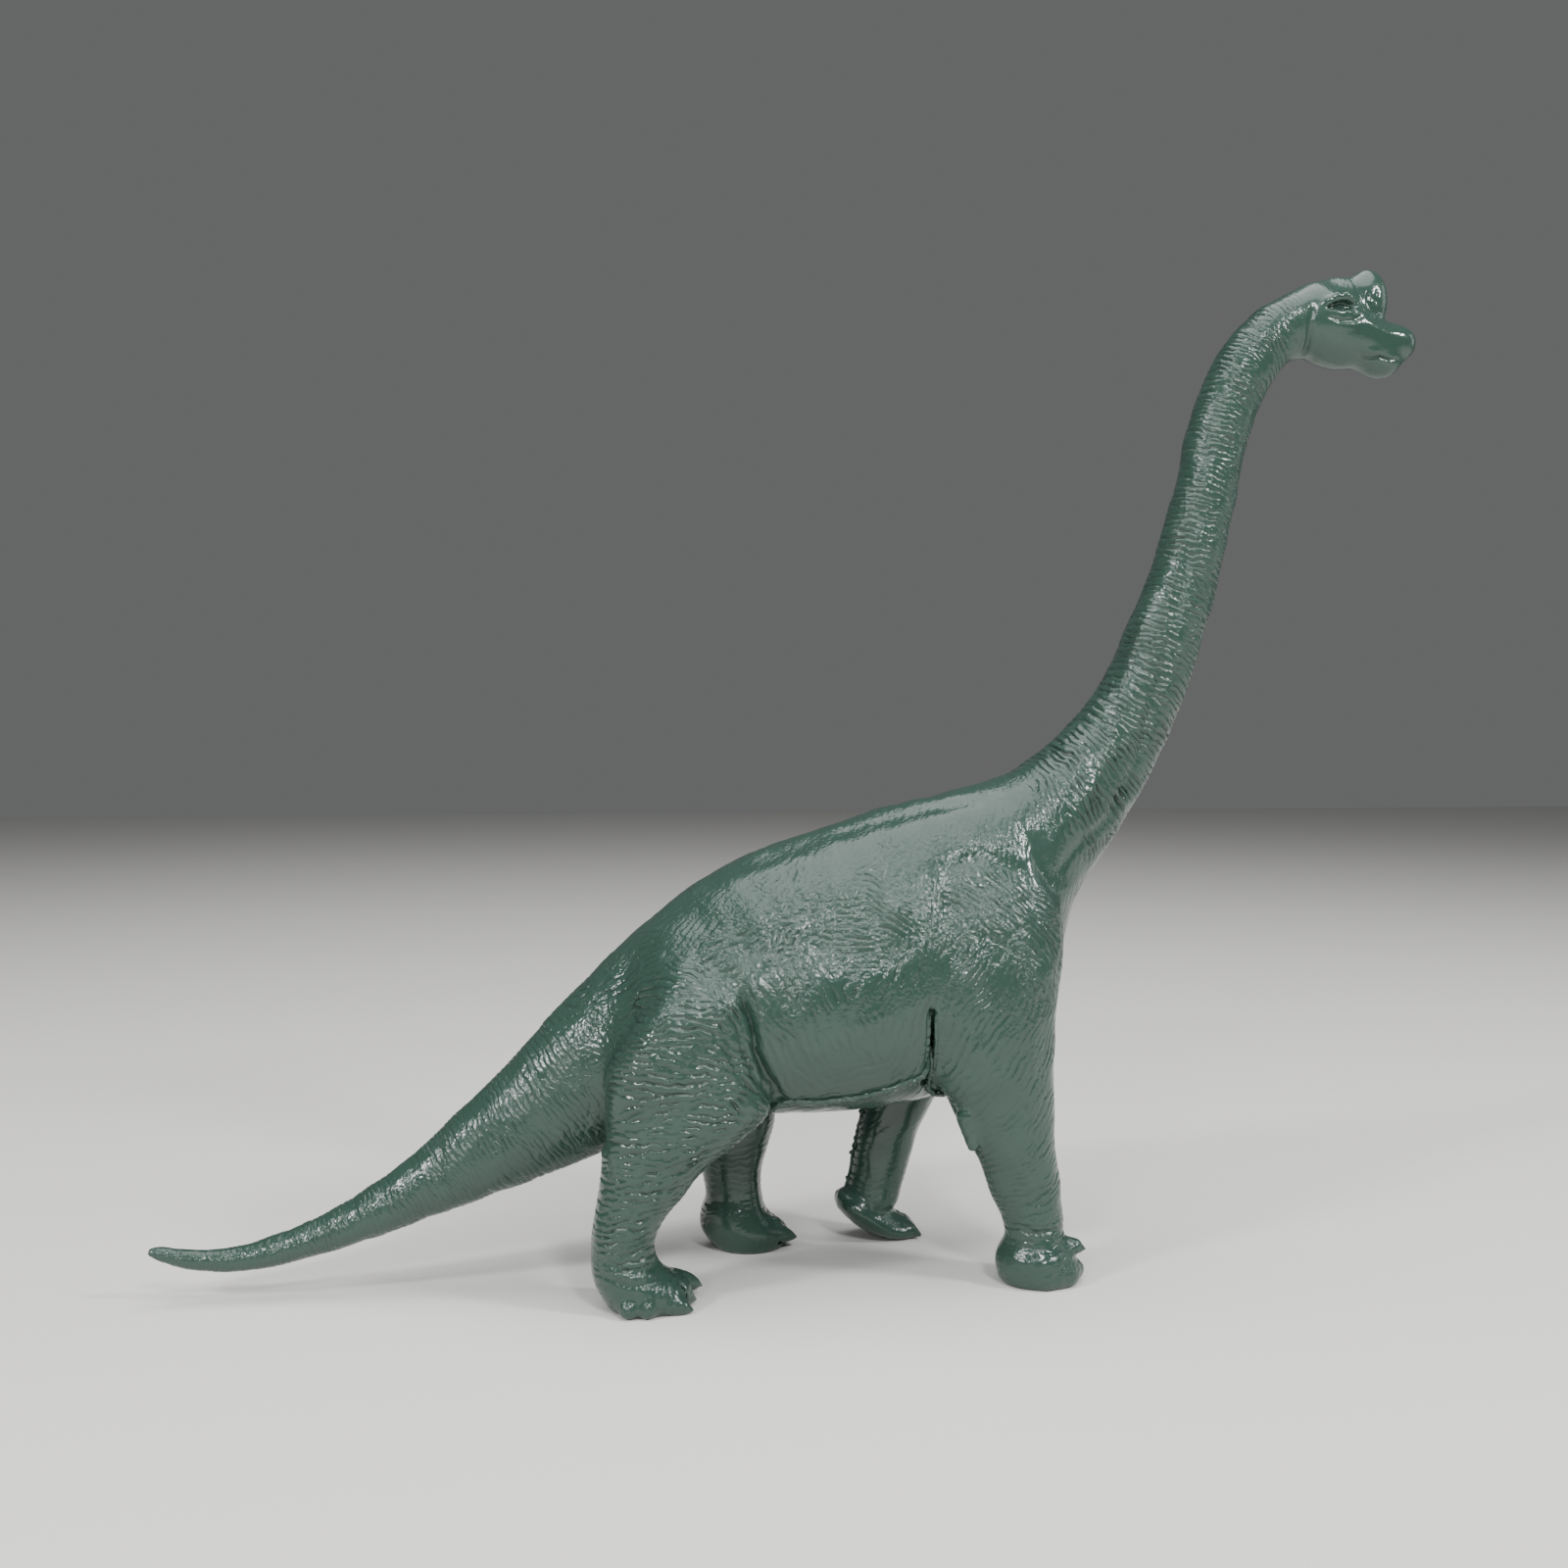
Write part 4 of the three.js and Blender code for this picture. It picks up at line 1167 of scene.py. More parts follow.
# Strokes of the sculpting tool: a name, the side it is on, width, depth (over zero is a ridge),
# and its points x, z. Side 1 is the left, -1 the right, 0 both.
STROKES = [
    (
        "groin fold", 0, 1.1, -2.4,
        [(-26.7, 86), (-24.1, 78.5), (-22.8, 69.4), (-19.6, 62.2), (-14.5, 55)],
    ),
    ("groin second fold", 0, 0.9, -0.7, [(-29, 80), (-27, 72), (-24, 65), (-19.5, 58)]),
    ("groin third fold", 0, 0.9, -0.5, [(-32, 78), (-30.4, 70), (-27.4, 63), (-23, 57)]),
    ("armpit slot", 0, 1.0, -1.4, [(25.6, 80), (26.1, 74), (26.4, 68.2), (26.7, 59.8), (28, 53)]),
    ("armpit hollow", 0, 3.6, -0.8, [(24.6, 84), (25.0, 74), (25.4, 62)]),
    ("thigh front", 0, 2.6, -1.3, [(-40, 96), (-31.7, 91.8), (-26.7, 86.6), (-24.1, 78.5)]),
    ("thigh top", 0, 3.0, -0.9, [(-60, 85), (-57.4, 90), (-50, 97), (-40, 96)]),
    ("thigh bulge", 0, 9.0, 0.9, [(-50, 80), (-42, 84), (-34, 76)]),
    (
        "flank ridge", 0, 3.2, 0.8,
        [(-48, 92), (-38.6, 96), (-26.5, 103), (-8, 111), (9, 113), (20, 105), (22, 95)],
    ),
    ("flank hollow", 0, 6.0, -0.9, [(-16, 92), (-4, 98), (8, 98), (14, 92)]),
    (
        "spine band", 0, 2.2, -1.2,
        [(-56, 98.6), (-29, 117.2), (-6.6, 125.2), (16, 131.9), (44.8, 137.3)],
    ),
    (
        "spine band edge", 0, 2.6, 0.8,
        [(-60, 101), (-31, 121.5), (-8, 130), (15, 136.5), (42, 142)],
    ),
    (
        "shoulder ring", 0, 2.6, -0.8,
        [(33.5, 94), (32.5, 104), (33, 118), (43, 121.5), (54, 117), (57, 105), (54, 95)],
    ),
    ("shoulder bulge", 0, 7.5, 1.2, [(43, 112), (46, 104), (43, 99)]),
    ("neck root fold", 0, 2.4, -1.1, [(58, 128), (61, 118), (67, 108), (70, 98)]),
    (
        "throat groove", 0, 1.9, -1.1,
        [(64, 113), (73, 123), (85, 131.5), (92, 144), (100, 170), (105, 187), (113, 221)],
    ),
    (
        "neck side ridge", 0, 2.2, 0.6,
        [(62, 122), (72, 132), (80, 143), (90, 166), (96, 187), (104, 221), (112, 240)],
    ),
    ("knee front", 0, 1.2, -0.6, [(-22, 52), (-28, 47), (-33, 41), (-38, 37)]),
    ("knee arc", -1, 1.0, -0.5, [(-38, 42), (-45.1, 39.9), (-54, 40)]),
    ("knee second arc", -1, 1.0, -0.5, [(-36, 36.5), (-42.5, 34.5), (-52, 34)]),
    ("ankle fold", -1, 0.8, -0.6, [(-64, 15), (-57, 12.6), (-50, 12.8), (-45.4, 15)]),
    ("ankle second fold", -1, 0.8, -0.5, [(-65, 11.4), (-58, 9.2), (-51, 9.4), (-46.4, 11.2)]),
    ("fore ankle fold", -1, 0.8, -0.6, [(50, 18.6), (56, 16.4), (63, 16.2), (68.4, 15)]),
    ("fore foot ridge", -1, 2.2, 0.5, [(50, 9.2), (56, 7.6), (63, 7.6), (69, 8.6)]),
    ("jaw groove", 0, 1.0, -1.0, [(148.2, 283.4), (147.8, 278.6), (148.8, 272.5), (149, 266.7)]),
    ("jaw ridge", 0, 1.2, 0.55, [(151.5, 270.6), (154.7, 268.6), (158.9, 267.3), (164.7, 266.2)]),
    (
        "mouth", 0, 0.42, -0.75,
        [(165.6, 270.3), (168.6, 269.3), (172.2, 269.9), (175.2, 269.4), (178.6, 269.6)],
    ),
    ("mouth corner", 0, 0.9, 0.4, [(166.6, 271.6), (169, 271.5), (171.4, 271.4)]),
    (
        "under-eye fold", 0, 0.6, -0.5,
        [(153, 280.6), (157.1, 279.3), (161.8, 279.8), (165, 281.4)],
    ),
    ("under-eye ridge", 0, 1.0, 0.2, [(155, 278.4), (159.4, 277.7), (165, 278.9)]),
    ("brow line", 0, 0.8, 0.3, [(154, 287.6), (159, 289.2), (163.6, 288)]),
    (
        "crest groove", 0, 1.0, -0.35,
        [(165, 291.6), (165.8, 288.6), (166.6, 285.2), (167.4, 282.6), (170.4, 281.4),
         (174, 281.8)],
    ),
    (
        "nostril", 0, 0.6, -0.55,
        [(168.6, 289.6), (168, 286.8), (168.8, 284.2), (171.4, 283.2), (173.2, 284.2)],
    ),
    ("crest front groove", 0, 0.6, -0.35, [(171.8, 290.4), (171.2, 287.6), (171.6, 285.6)]),
    ("cheek ridge", 0, 1.5, 0.4, [(165.7, 279.7), (168.9, 278.6), (173.7, 277), (179, 277.2)]),
]


# A stroke reaches this many widths aside, keeps some depth at its ends, and is worked only on
# skin that faces sideways
STROKE_REACH = 3
STROKE_END_SHARE = 0.08
STROKE_FACING = (0.15, 0.6)


def stroke_lift(points, normals, side, width, depth, path):
    """How far a stroke lifts points along their normals."""
    path = np.array(path, float)
    flat = points[:, [0, 2]]
    low = path.min(0) - STROKE_REACH * width
    high = path.max(0) + STROKE_REACH * width
    near = ((flat > low) & (flat < high)).all(1)
    if side:
        near &= points[:, 1] * side > 0
    lift = np.zeros(len(points))
    spot = flat[near]
    best = np.full(len(spot), 1e9)
    share = np.zeros(len(spot))
    lengths = np.linalg.norm(np.diff(path, axis=0), axis=1)
    passed = np.concatenate([[0], np.cumsum(lengths)])
    for k in range(len(path) - 1):
        along = path[k + 1] - path[k]
        t = np.clip((spot - path[k]) @ along / (along @ along), 0, 1)
        gap = np.linalg.norm(spot - path[k] - t[:, None] * along, axis=1)
        closer = gap < best
        best[closer] = gap[closer]
        share[closer] = (passed[k] + t[closer] * lengths[k]) / passed[-1]
    taper = np.sqrt(np.clip(4 * share * (1 - share) + STROKE_END_SHARE, 0, 1))
    facing = smoothstep(*STROKE_FACING, np.abs(normals[near, 1]))
    lift[near] = depth * np.exp(-((best / width) ** 2)) * taper * facing
    return lift


# The head's skin is calmer: where that fades in, along x and in height, and by how much
HEAD_FADE_X = (138, 150)
HEAD_FADE_Z = (240, 262)
HEAD_CALM = {"wrinkles": 0.9, "crinkles": 0.8, "swells": 0.7}

# The soles are plain up to these heights
SOLE_FADE = (0.2, 1.6)

# How unevenly the skin is covered: the width of the patches, and the least and most share
WRINKLE_COVER = (8, 0.15, 2.0)
CRINKLE_COVER = (13, 0.2, 1.6)

# Unevenness: the width of its lumps, and how far they bend the wrinkles or lift the skin
BENDS = (5.0, 0.3)
SWELLS = (9, 0.13)
CRINKLES = (2.4, 0.07)
NOSTRIL_PITS = (1.7, 0.14)
NOSTRILS = ((170, 0, 286), (5, 9, 5))


def cover(points, rule, seed):
    """Shares at points that swell and shrink over the skin, by a rule of width, least and most."""
    width, least, most = rule
    return np.clip(1 + 0.5 * lumps_at(points, width, seed), least, most)


def sculpted(skin):
    """A skin's points with strokes and wrinkles worked in, and the waves for the material."""
    points = skin.points
    normals = skin.normals
    lift = np.zeros(len(points))
    for _, side, width, depth, path in STROKES:
        lift += stroke_lift(points, normals, side, width, depth, path)
    bends = [lumps_at(points, BENDS[0], SEED + 7 + k) for k in range(3)]
    waves = wrinkles_at(points + BENDS[1] * np.stack(bends, -1))
    head = smoothstep(*HEAD_FADE_X, points[:, 0]) * smoothstep(*HEAD_FADE_Z, points[:, 2])
    sole = smoothstep(*SOLE_FADE, points[:, 2])
    crinkles = guided_on(skin.name, points)[3] * outward_share(skin.name, normals)
    calm = {kind: 1 - share * head for kind, share in HEAD_CALM.items()}
    crinkles *= cover(points, CRINKLE_COVER, SEED + 11) * calm["crinkles"] * sole
    waves[:, 2] *= cover(points, WRINKLE_COVER, SEED + 1) * calm["wrinkles"] * sole
    waves[:, 2] *= bpy.context.scene.dinosaur_skin.wrinkle_depth
    lift += waves[:, 2] * ridge(waves[:, 0])
    lift += SWELLS[1] * lumps_at(points, SWELLS[0], SEED + 2) * sole * calm["swells"]
    lift += CRINKLES[1] * lumps_at(points, CRINKLES[0], SEED + 3) * crinkles
    nostrils = smoothstep(1.0, 0.5, np.linalg.norm((points - NOSTRILS[0]) / NOSTRILS[1], axis=1))
    lift += NOSTRIL_PITS[1] * lumps_at(points, NOSTRIL_PITS[0], SEED + 4) * nostrils
    if skin.name == "belly_panel":
        lift -= BELLY_RECESS
    return points + normals * lift[:, None], np.column_stack([waves, crinkles])


def vertex_normals(points, triangles):
    """Unit normals at points, averaged from the triangles round them."""
    first, second, third = (points[triangles[:, k]] for k in range(3))
    facing = np.cross(second - first, third - first)
    total = np.zeros_like(points)
    for axis in range(3):
        for k in range(3):
            total[:, axis] += np.bincount(triangles[:, k], facing[:, axis], len(points))
    return total / (np.linalg.norm(total, axis=1)[:, None] + 1e-12)


# Cutting a skin at a seam and closing it

def trimmed(values, triangles, level):
    """The part of a mesh where level is over zero, cut where it is zero.

    values holds one row for each point: its place and all that goes with it.
    """
    level = np.where(np.abs(level) < 1e-4, 1e-4, level)
    inside = level > 0
    count = inside[triangles].sum(1)

    # Triangles with one or two points inside, turned so that the odd point comes first
    turned = []
    for wanted in (1, 2):
        cut = triangles[count == wanted]
        odd = inside[cut] if wanted == 1 else ~inside[cut]
        first = odd.argmax(1)
        turned.append(np.stack([cut[np.arange(len(cut)), (first + k) % 3] for k in range(3)], 1))
    one, two = turned
    edges = np.vstack([part[:, [0, k]] for part in turned for k in (1, 2)])
    unique, inverse = np.unique(np.sort(edges, axis=1), axis=0, return_inverse=True)
    share = level[unique[:, 0]] / (level[unique[:, 0]] - level[unique[:, 1]])
    new_rows = values[unique[:, 0]] * (1 - share[:, None]) + values[unique[:, 1]] * share[:, None]
    ids = len(values) + inverse.ravel()
    one_ab, one_ac, two_ab, two_ac = np.split(ids, np.cumsum([len(one), len(one), len(two)]))
    triangles = np.vstack([
        triangles[count == 3],
        np.stack([one[:, 0], one_ab, one_ac], 1),
        np.stack([two_ab, two[:, 1], two[:, 2]], 1),
        np.stack([two_ab, two[:, 2], two_ac], 1),
    ])
    values = np.vstack([values, new_rows])
    used, triangles = np.unique(triangles, return_inverse=True)
    return values[used], triangles.reshape(-1, 3)


def rims(triangles):
    """The open edges of a mesh as loops of point numbers, each along its triangles' edges."""
    edges = np.vstack([triangles[:, [0, 1]], triangles[:, [1, 2]], triangles[:, [2, 0]]])
    size = triangles.max() + 1
    codes = edges[:, 0] * size + edges[:, 1]
    back = edges[:, 1] * size + edges[:, 0]
    open_edges = edges[~np.isin(codes, back)]
    after = {}
    for start, end in open_edges:
        after.setdefault(int(start), []).append(int(end))
    loops = []
    while after:
        start = next(iter(after))
        loop = [start]
        point = after[start].pop()
        if not after[start]:
            del after[start]
        while point != start and point in after:
            loop.append(point)
            following = after[point].pop()
            if not after[point]:
                del after[point]
            point = following
        loops.append(np.array(loop))
    return loops


def joint(place, axis, steps):
    """How a rim is closed, in steps that lead inwards from it.

    A step's three values are the share of the way from the rim to a circle, the push along the
    axis, and the circle's radius.
    """
    place = np.array(place, float)
    axis = np.array(axis, float)
    return SimpleNamespace(place=place, axis=axis / np.linalg.norm(axis), steps=steps)


SMALL_RIM = 12


def closed(points, triangles, joints):
    """The points and triangles of the caps over a mesh's rims."""
    new_points = []
    caps = []
    total = len(points)
    for loop in rims(triangles):
        rim = points[loop]
        middle = rim.mean(0)
        nearest = min(joints, key=lambda item: np.linalg.norm(item.place - middle))
        if len(loop) < SMALL_RIM:
            nearest = joint(middle, (0, 0, 1), [])
        offset = rim - nearest.place
        offset -= (offset @ nearest.axis)[:, None] * nearest.axis
        outward = offset / (np.linalg.norm(offset, axis=1)[:, None] + 1e-9)
        ids = loop
        for share, push, radius in nearest.steps:
            target = nearest.place + outward * radius
            ring = rim + (target - rim) * share + nearest.axis * push
            ring_ids = total + np.arange(len(ring))
            total += len(ring)
            new_points.append(ring)
            after = np.roll(ids, -1)
            ring_after = np.roll(ring_ids, -1)
            caps.append(np.stack([ids, ring_ids, ring_after], 1))
            caps.append(np.stack([ids, ring_after, after], 1))
            ids = ring_ids
        last = new_points[-1] if nearest.steps else rim
        new_points.append(last.mean(0)[None])
        after = np.roll(ids, -1)
        caps.append(np.stack([ids, np.full(len(ids), total), after], 1))
        total += 1
    if not caps:
        return points, np.zeros((0, 3), int)
    return np.vstack([points, *new_points]), np.vstack(caps)


SOCKET_CLEARANCE = 0.3
LEG_JOINT_Y = 21.0
TAIL_JOINT_RADIUS = 15.0
NECK_JOINT_RADIUS = 14.0
SPIGOT_STEP = 3
SPIGOT_LENGTH = 8
BELLY_JOINT_HEIGHT = 52
BELLY_EDGE_DEPTH = 1.2
BELLY_LEDGE_DEPTH = 3.0


def leg_joint(item, inside):
    """A leg's joint: a peg on the leg, or the hole for it in the torso."""
    clearance = SOCKET_CLEARANCE if inside else 0
    place = (item.x, item.side * (LEG_JOINT_Y - clearance), item.peg_height)
    radius = PEG_RADIUS + clearance
    steps = [
        (0.25, clearance, 14.0),
        (0.7, clearance, 10.0),
        (1.0, clearance, radius),
        (1.0, PEG_LENGTH + 2 * clearance, radius),
    ]
    return joint(place, (0, -item.side, 0), steps)


def seam_joint(place, axis, radius, inside):
    """A neck's or tail's joint: a spigot with a shoulder, or its socket."""
    clearance = SOCKET_CLEARANCE if inside else 0
    narrow = radius - SPIGOT_STEP
    end = clearance + SPIGOT_LENGTH
    steps = [
        (0.12, clearance, radius),
        (0.3, clearance, narrow),
        (0.3, end, narrow),
        (0.6, end, narrow),
    ]
    return joint(place, axis, steps)


def belly_joint(inside):
    """The belly panel's stepped edge, or the ledge for it in the torso."""
    clearance = SOCKET_CLEARANCE if inside else 0
    edge = BELLY_EDGE_DEPTH + clearance
    ledge = BELLY_LEDGE_DEPTH + clearance
    steps = [(0.04, edge, 0.0), (0.12, edge, 0.0), (0.12, ledge, 0.0), (0.5, ledge, 0.0)]
    return joint((BELLY_X, 0, BELLY_JOINT_HEIGHT), (0, 0, 1), steps)


def joints_of(name):
    """A piece's joints: its own one, or for the torso all the openings."""
    tail = ((TAIL_SEAM_X, 0, TAIL_ROOT_HEIGHT), (1, 0, 0), TAIL_JOINT_RADIUS)
    neck = ((NECK_SEAM_X, 0, NECK_SEAM_Z), -NECK_SEAM_AXIS, NECK_JOINT_RADIUS)
    if name in LEGS:
        return [leg_joint(LEGS[name], False)]
    if name == "tail":
        return [seam_joint(*tail, False)]
    if name == "neck_and_head":
        return [seam_joint(*neck, False)]
    if name == "belly_panel":
        return [belly_joint(False)]
    holes = [leg_joint(item, True) for item in LEGS.values()]
    return holes + [seam_joint(*tail, True), seam_joint(*neck, True), belly_joint(True)]


@functools.lru_cache(maxsize=None)
def cut_skin(name):
    """A piece's sculpted skin, cut at its seams: places, normals, waves, and its triangles."""
    skin = skin_of(name)
    points, waves = sculpted(skin)
    normals = vertex_normals(points, skin.triangles)
    values, triangles = trimmed(np.hstack([points, normals, waves]), skin.triangles, skin.level)
    triangles = largest_part(values[:, :3], triangles)
    used, triangles = np.unique(triangles, return_inverse=True)
    return values[used], triangles.reshape(-1, 3)


def make_piece(name):
    """Closes a piece's cut skin with its joints and puts it in the scene."""
    values, triangles = cut_skin(name)
    all_points, caps = closed(values[:, :3], triangles, joints_of(name))
    piece = mesh_object(name + "_skin", all_points, triangles, caps, values[:, 3:6], values[:, 6:])
    piece.data.materials.append(moulded_pvc())
    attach(piece, "root")
    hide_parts(name)


def largest_part(points, triangles):
    """Only the triangles of the mesh's largest joined part."""
    label = np.arange(len(points))
    before = None
    while before is None or (label != before).any():
        before = label.copy()
        lowest = label[triangles].min(1)
        for k in range(3):
            np.minimum.at(label, triangles[:, k], lowest)
        label = label[label]
    part = label[triangles[:, 0]]
    names, counts = np.unique(part, return_counts=True)
    return triangles[part == names[counts.argmax()]]


def mesh_object(name, points, skin, caps, skin_normals, waves):
    """A mesh object in metres. The skin keeps the given normals, so that seams don't show."""
    triangles = np.vstack([skin, caps]).astype(np.int32)
    mesh = bpy.data.meshes.new(name)
    mesh.vertices.add(len(points))
    mesh.vertices.foreach_set("co", (points * MM).astype(np.float32).ravel())
    mesh.loops.add(triangles.size)
    mesh.loops.foreach_set("vertex_index", triangles.ravel())
    mesh.polygons.add(len(triangles))
    mesh.polygons.foreach_set("loop_start", np.arange(len(triangles), dtype=np.int32) * 3)
    mesh.polygons.foreach_set("use_smooth", np.ones(len(triangles), bool))
    mesh.update(calc_edges=True)
    mesh.validate()
    folds = np.zeros((len(points), 4), np.float32)
    folds[:len(waves)] = waves
    attribute = mesh.attributes.new("folds", "FLOAT_COLOR", "POINT")
    attribute.data.foreach_set("color", folds.ravel())
    given = np.zeros((len(points), 3))
    given[:len(skin_normals)] = skin_normals
    cap_normals = vertex_normals(points, caps) if len(caps) else given
    loops = np.vstack([given[skin].reshape(-1, 3), cap_normals[caps].reshape(-1, 3)])
    loops /= np.linalg.norm(loops, axis=1)[:, None] + 1e-12
    mesh.normals_split_custom_set(loops.tolist())
    piece = bpy.data.objects.new(name, mesh)
    bpy.context.collection.objects.link(piece)
    return piece


# Materials

# Noise features for each metre: the colour drifts over about 17 mm, and the crinkles are about
# 2 mm wide
DRIFT_SCALE = 60.0
CRINKLE_SCALE = 560.0

# How far the gloss drifts with the colour, and what each kind of relief adds to the bump, which
# is in millimetres: crinkles where they are strongest and everywhere, creases, and fine lines
GLOSS_DRIFT = (-0.04, 0.05)
CRINKLE_BUMP = -0.11
GRAIN_BUMP = -0.015
CREASE_BUMP = -0.7
FINE_BUMP = 0.35
CREASE_SHARPNESS = 3.0


def linear(hex_colour):
    """An sRGB hex colour as linear red, green, blue."""
    parts = [int(hex_colour[k:k + 2], 16) / 255 for k in (0, 2, 4)]
    return [p / 12.92 if p <= 0.04045 else ((p + 0.055) / 1.055) ** 2.4 for p in parts]


def add_node(tree, kind, settings=None, **inputs):
    """A node with its settings, and its inputs set to values or linked to sockets."""
    node = tree.nodes.new(kind)
    for key, value in (settings or {}).items():
        setattr(node, key, value)
    for key, value in inputs.items():
        index = int(key[1:]) if key[1:].isdigit() else key.replace("_", " ")
        socket = node.inputs[index]
        if isinstance(value, bpy.types.NodeSocket):
            tree.links.new(value, socket)
        else:
            socket.default_value = value
    return node


# Soft PVC, injected into a polished steel mould: one even grey-green all through, with a
# semi-gloss skin that shows small crisp highlights. Down in the creases the colour is darkened as
# painted shade
def moulded_pvc():
    """The plastic of all pieces, which reads the waves of the wrinkles from the mesh for its bump and
    for the painted shade in its creases.
    """
    existing = bpy.data.materials.get("moulded_green_pvc")
    if existing:
        return existing
    plastic = bpy.context.scene.dinosaur_plastic
    material = bpy.data.materials.new("moulded_green_pvc")
    material.use_nodes = True
    tree = material.node_tree
    tree.nodes.clear()
    folds = add_node(tree, "ShaderNodeAttribute", {"attribute_name": "folds"})
    parts = add_node(tree, "ShaderNodeSeparateXYZ", Vector=folds.outputs["Vector"])
    half = add_node(
        tree, "ShaderNodeMath", {"operation": "MULTIPLY_ADD"}, i0=parts.outputs["X"], i1=-0.5, i2=0.5,
    )
    crease = add_node(
        tree, "ShaderNodeMath", {"operation": "POWER"}, i0=half.outputs[0], i1=CREASE_SHARPNESS,
    )
    depth = add_node(
        tree, "ShaderNodeMath", {"operation": "MULTIPLY"}, i0=crease.outputs[0], i1=parts.outputs["Z"],
    )
    place = add_node(tree, "ShaderNodeTexCoord")
    mottle = add_node(
        tree, "ShaderNodeTexNoise", Vector=place.outputs["Object"], Scale=DRIFT_SCALE, Detail=1.0,
    )
    base = add_node(
        tree, "ShaderNodeMix", {"data_type": "RGBA"}, i0=mottle.outputs["Fac"],
        i6=(*plastic.colour, 1), i7=(*plastic.colour_variation, 1),
    )
    # Painted shade: the colour is darkened towards the crease colour down in the creases, and the
    # deeper the wrinkle, the darker it gets
    painted_crease_shade_mix = add_node(
        tree, "ShaderNodeMath", {"operation": "MULTIPLY", "use_clamp": True}, i0=depth.outputs[0],
        i1=plastic.painted_crease_shade_rate,
    )
    colour = add_node(
        tree, "ShaderNodeMix", {"data_type": "RGBA"}, i0=painted_crease_shade_mix.outputs[0],
        i6=base.outputs[2], i7=(*plastic.painted_crease_shade_colour, 1),
    )
    gloss = add_node(
        tree, "ShaderNodeMapRange", Value=mottle.outputs["Fac"], From_Min=0.3, From_Max=0.7,
        To_Min=plastic.roughness + GLOSS_DRIFT[0], To_Max=plastic.roughness + GLOSS_DRIFT[1],
    )
    # Half-width lines beside the sculpted wrinkles: the sine doubled, as deep as a share of them
    fine = add_node(
        tree, "ShaderNodeMath", {"operation": "MULTIPLY"}, i0=parts.outputs["X"], i1=parts.outputs["Y"],
    )
    fine = add_node(
        tree, "ShaderNodeMath", {"operation": "MULTIPLY"}, i0=fine.outputs[0], i1=parts.outputs["Z"],
    )
    # Crinkles of about a millimetre, which break up the highlights as on pressed leather
    crinkle = add_node(
        tree, "ShaderNodeTexNoise", {"noise_type": "RIDGED_MULTIFRACTAL"},
        Vector=place.outputs["Object"], Scale=CRINKLE_SCALE, Detail=3.0, Offset=1.0, Gain=1.5,
    )
    strength = add_node(
        tree, "ShaderNodeMath", {"operation": "MULTIPLY_ADD"}, i0=folds.outputs["Alpha"],
        i1=CRINKLE_BUMP, i2=GRAIN_BUMP,
    )
    height = add_node(
        tree, "ShaderNodeMath", {"operation": "MULTIPLY"}, i0=crinkle.outputs["Fac"],
        i1=strength.outputs[0],
    )
    height = add_node(
        tree, "ShaderNodeMath", {"operation": "MULTIPLY_ADD"}, i0=depth.outputs[0], i1=CREASE_BUMP,
        i2=height.outputs[0],
    )
    height = add_node(
        tree, "ShaderNodeMath", {"operation": "MULTIPLY_ADD"}, i0=fine.outputs[0], i1=FINE_BUMP,
        i2=height.outputs[0],
    )
    bump = add_node(
        tree, "ShaderNodeBump", Strength=0.8, Distance=MM, Height=height.outputs[0],
    )
    shader = add_node(
        tree, "ShaderNodeBsdfPrincipled", Base_Color=colour.outputs[2],
        Roughness=gloss.outputs[0], IOR=plastic.ior, Normal=bump.outputs[0],
    )
    add_node(tree, "ShaderNodeOutputMaterial", Surface=shader.outputs[0])
    return material


# Rolled matt paint: pale, with no shine of its own, so that it only carries the shadow
def floor_finish():
    """The floor's paint."""
    material = bpy.data.materials.new("matt_pale_floor")
    material.use_nodes = True
    shader = material.node_tree.nodes["Principled BSDF"]
    shader.inputs["Base Color"].default_value = (*linear("D9D8D4"), 1)
    shader.inputs["Roughness"].default_value = 0.85
    return material


# Settings

class SkinSettings(bpy.types.PropertyGroup):
    """How the skin is sculpted"""

    wrinkle_depth: bpy.props.FloatProperty(
        name="Wrinkle depth", description="How deep the wrinkles are, against the sculpted ones",
        default=1.0, min=0.0, max=3.0, subtype="FACTOR",
    )


class PlasticSettings(bpy.types.PropertyGroup):
    """The moulded plastic's colours and gloss"""

    colour: bpy.props.FloatVectorProperty(
        name="Colour", description="The plastic's main colour", subtype="COLOR", size=3,
        min=0.0, max=1.0, default=linear("2A4038"),
    )
    colour_variation: bpy.props.FloatVectorProperty(
        name="Second colour", description="The colour that the main one drifts to", subtype="COLOR",
        size=3, min=0.0, max=1.0, default=linear("2E463D"),
    )
    # Painted shade: the colour that the creases are darkened to
    painted_crease_shade_colour: bpy.props.FloatVectorProperty(
        name="Crease colour", description="The colour down in the creases", subtype="COLOR",
        size=3, min=0.0, max=1.0, default=linear("131F1B"),
    )
    # How fast the painted shade in the creases deepens with their depth
    painted_crease_shade_rate: bpy.props.FloatProperty(
        name="Crease shade", description="How fast the creases darken with their depth",
        default=1.6, min=0.0, max=10.0,
    )
    roughness: bpy.props.FloatProperty(
        name="Roughness", description="The plastic's roughness", default=0.175, min=0.0, max=1.0,
        subtype="FACTOR",
    )
    ior: bpy.props.FloatProperty(
        name="Refractive index", description="The plastic's refractive index", default=1.53,
        min=1.0, max=2.0,
    )


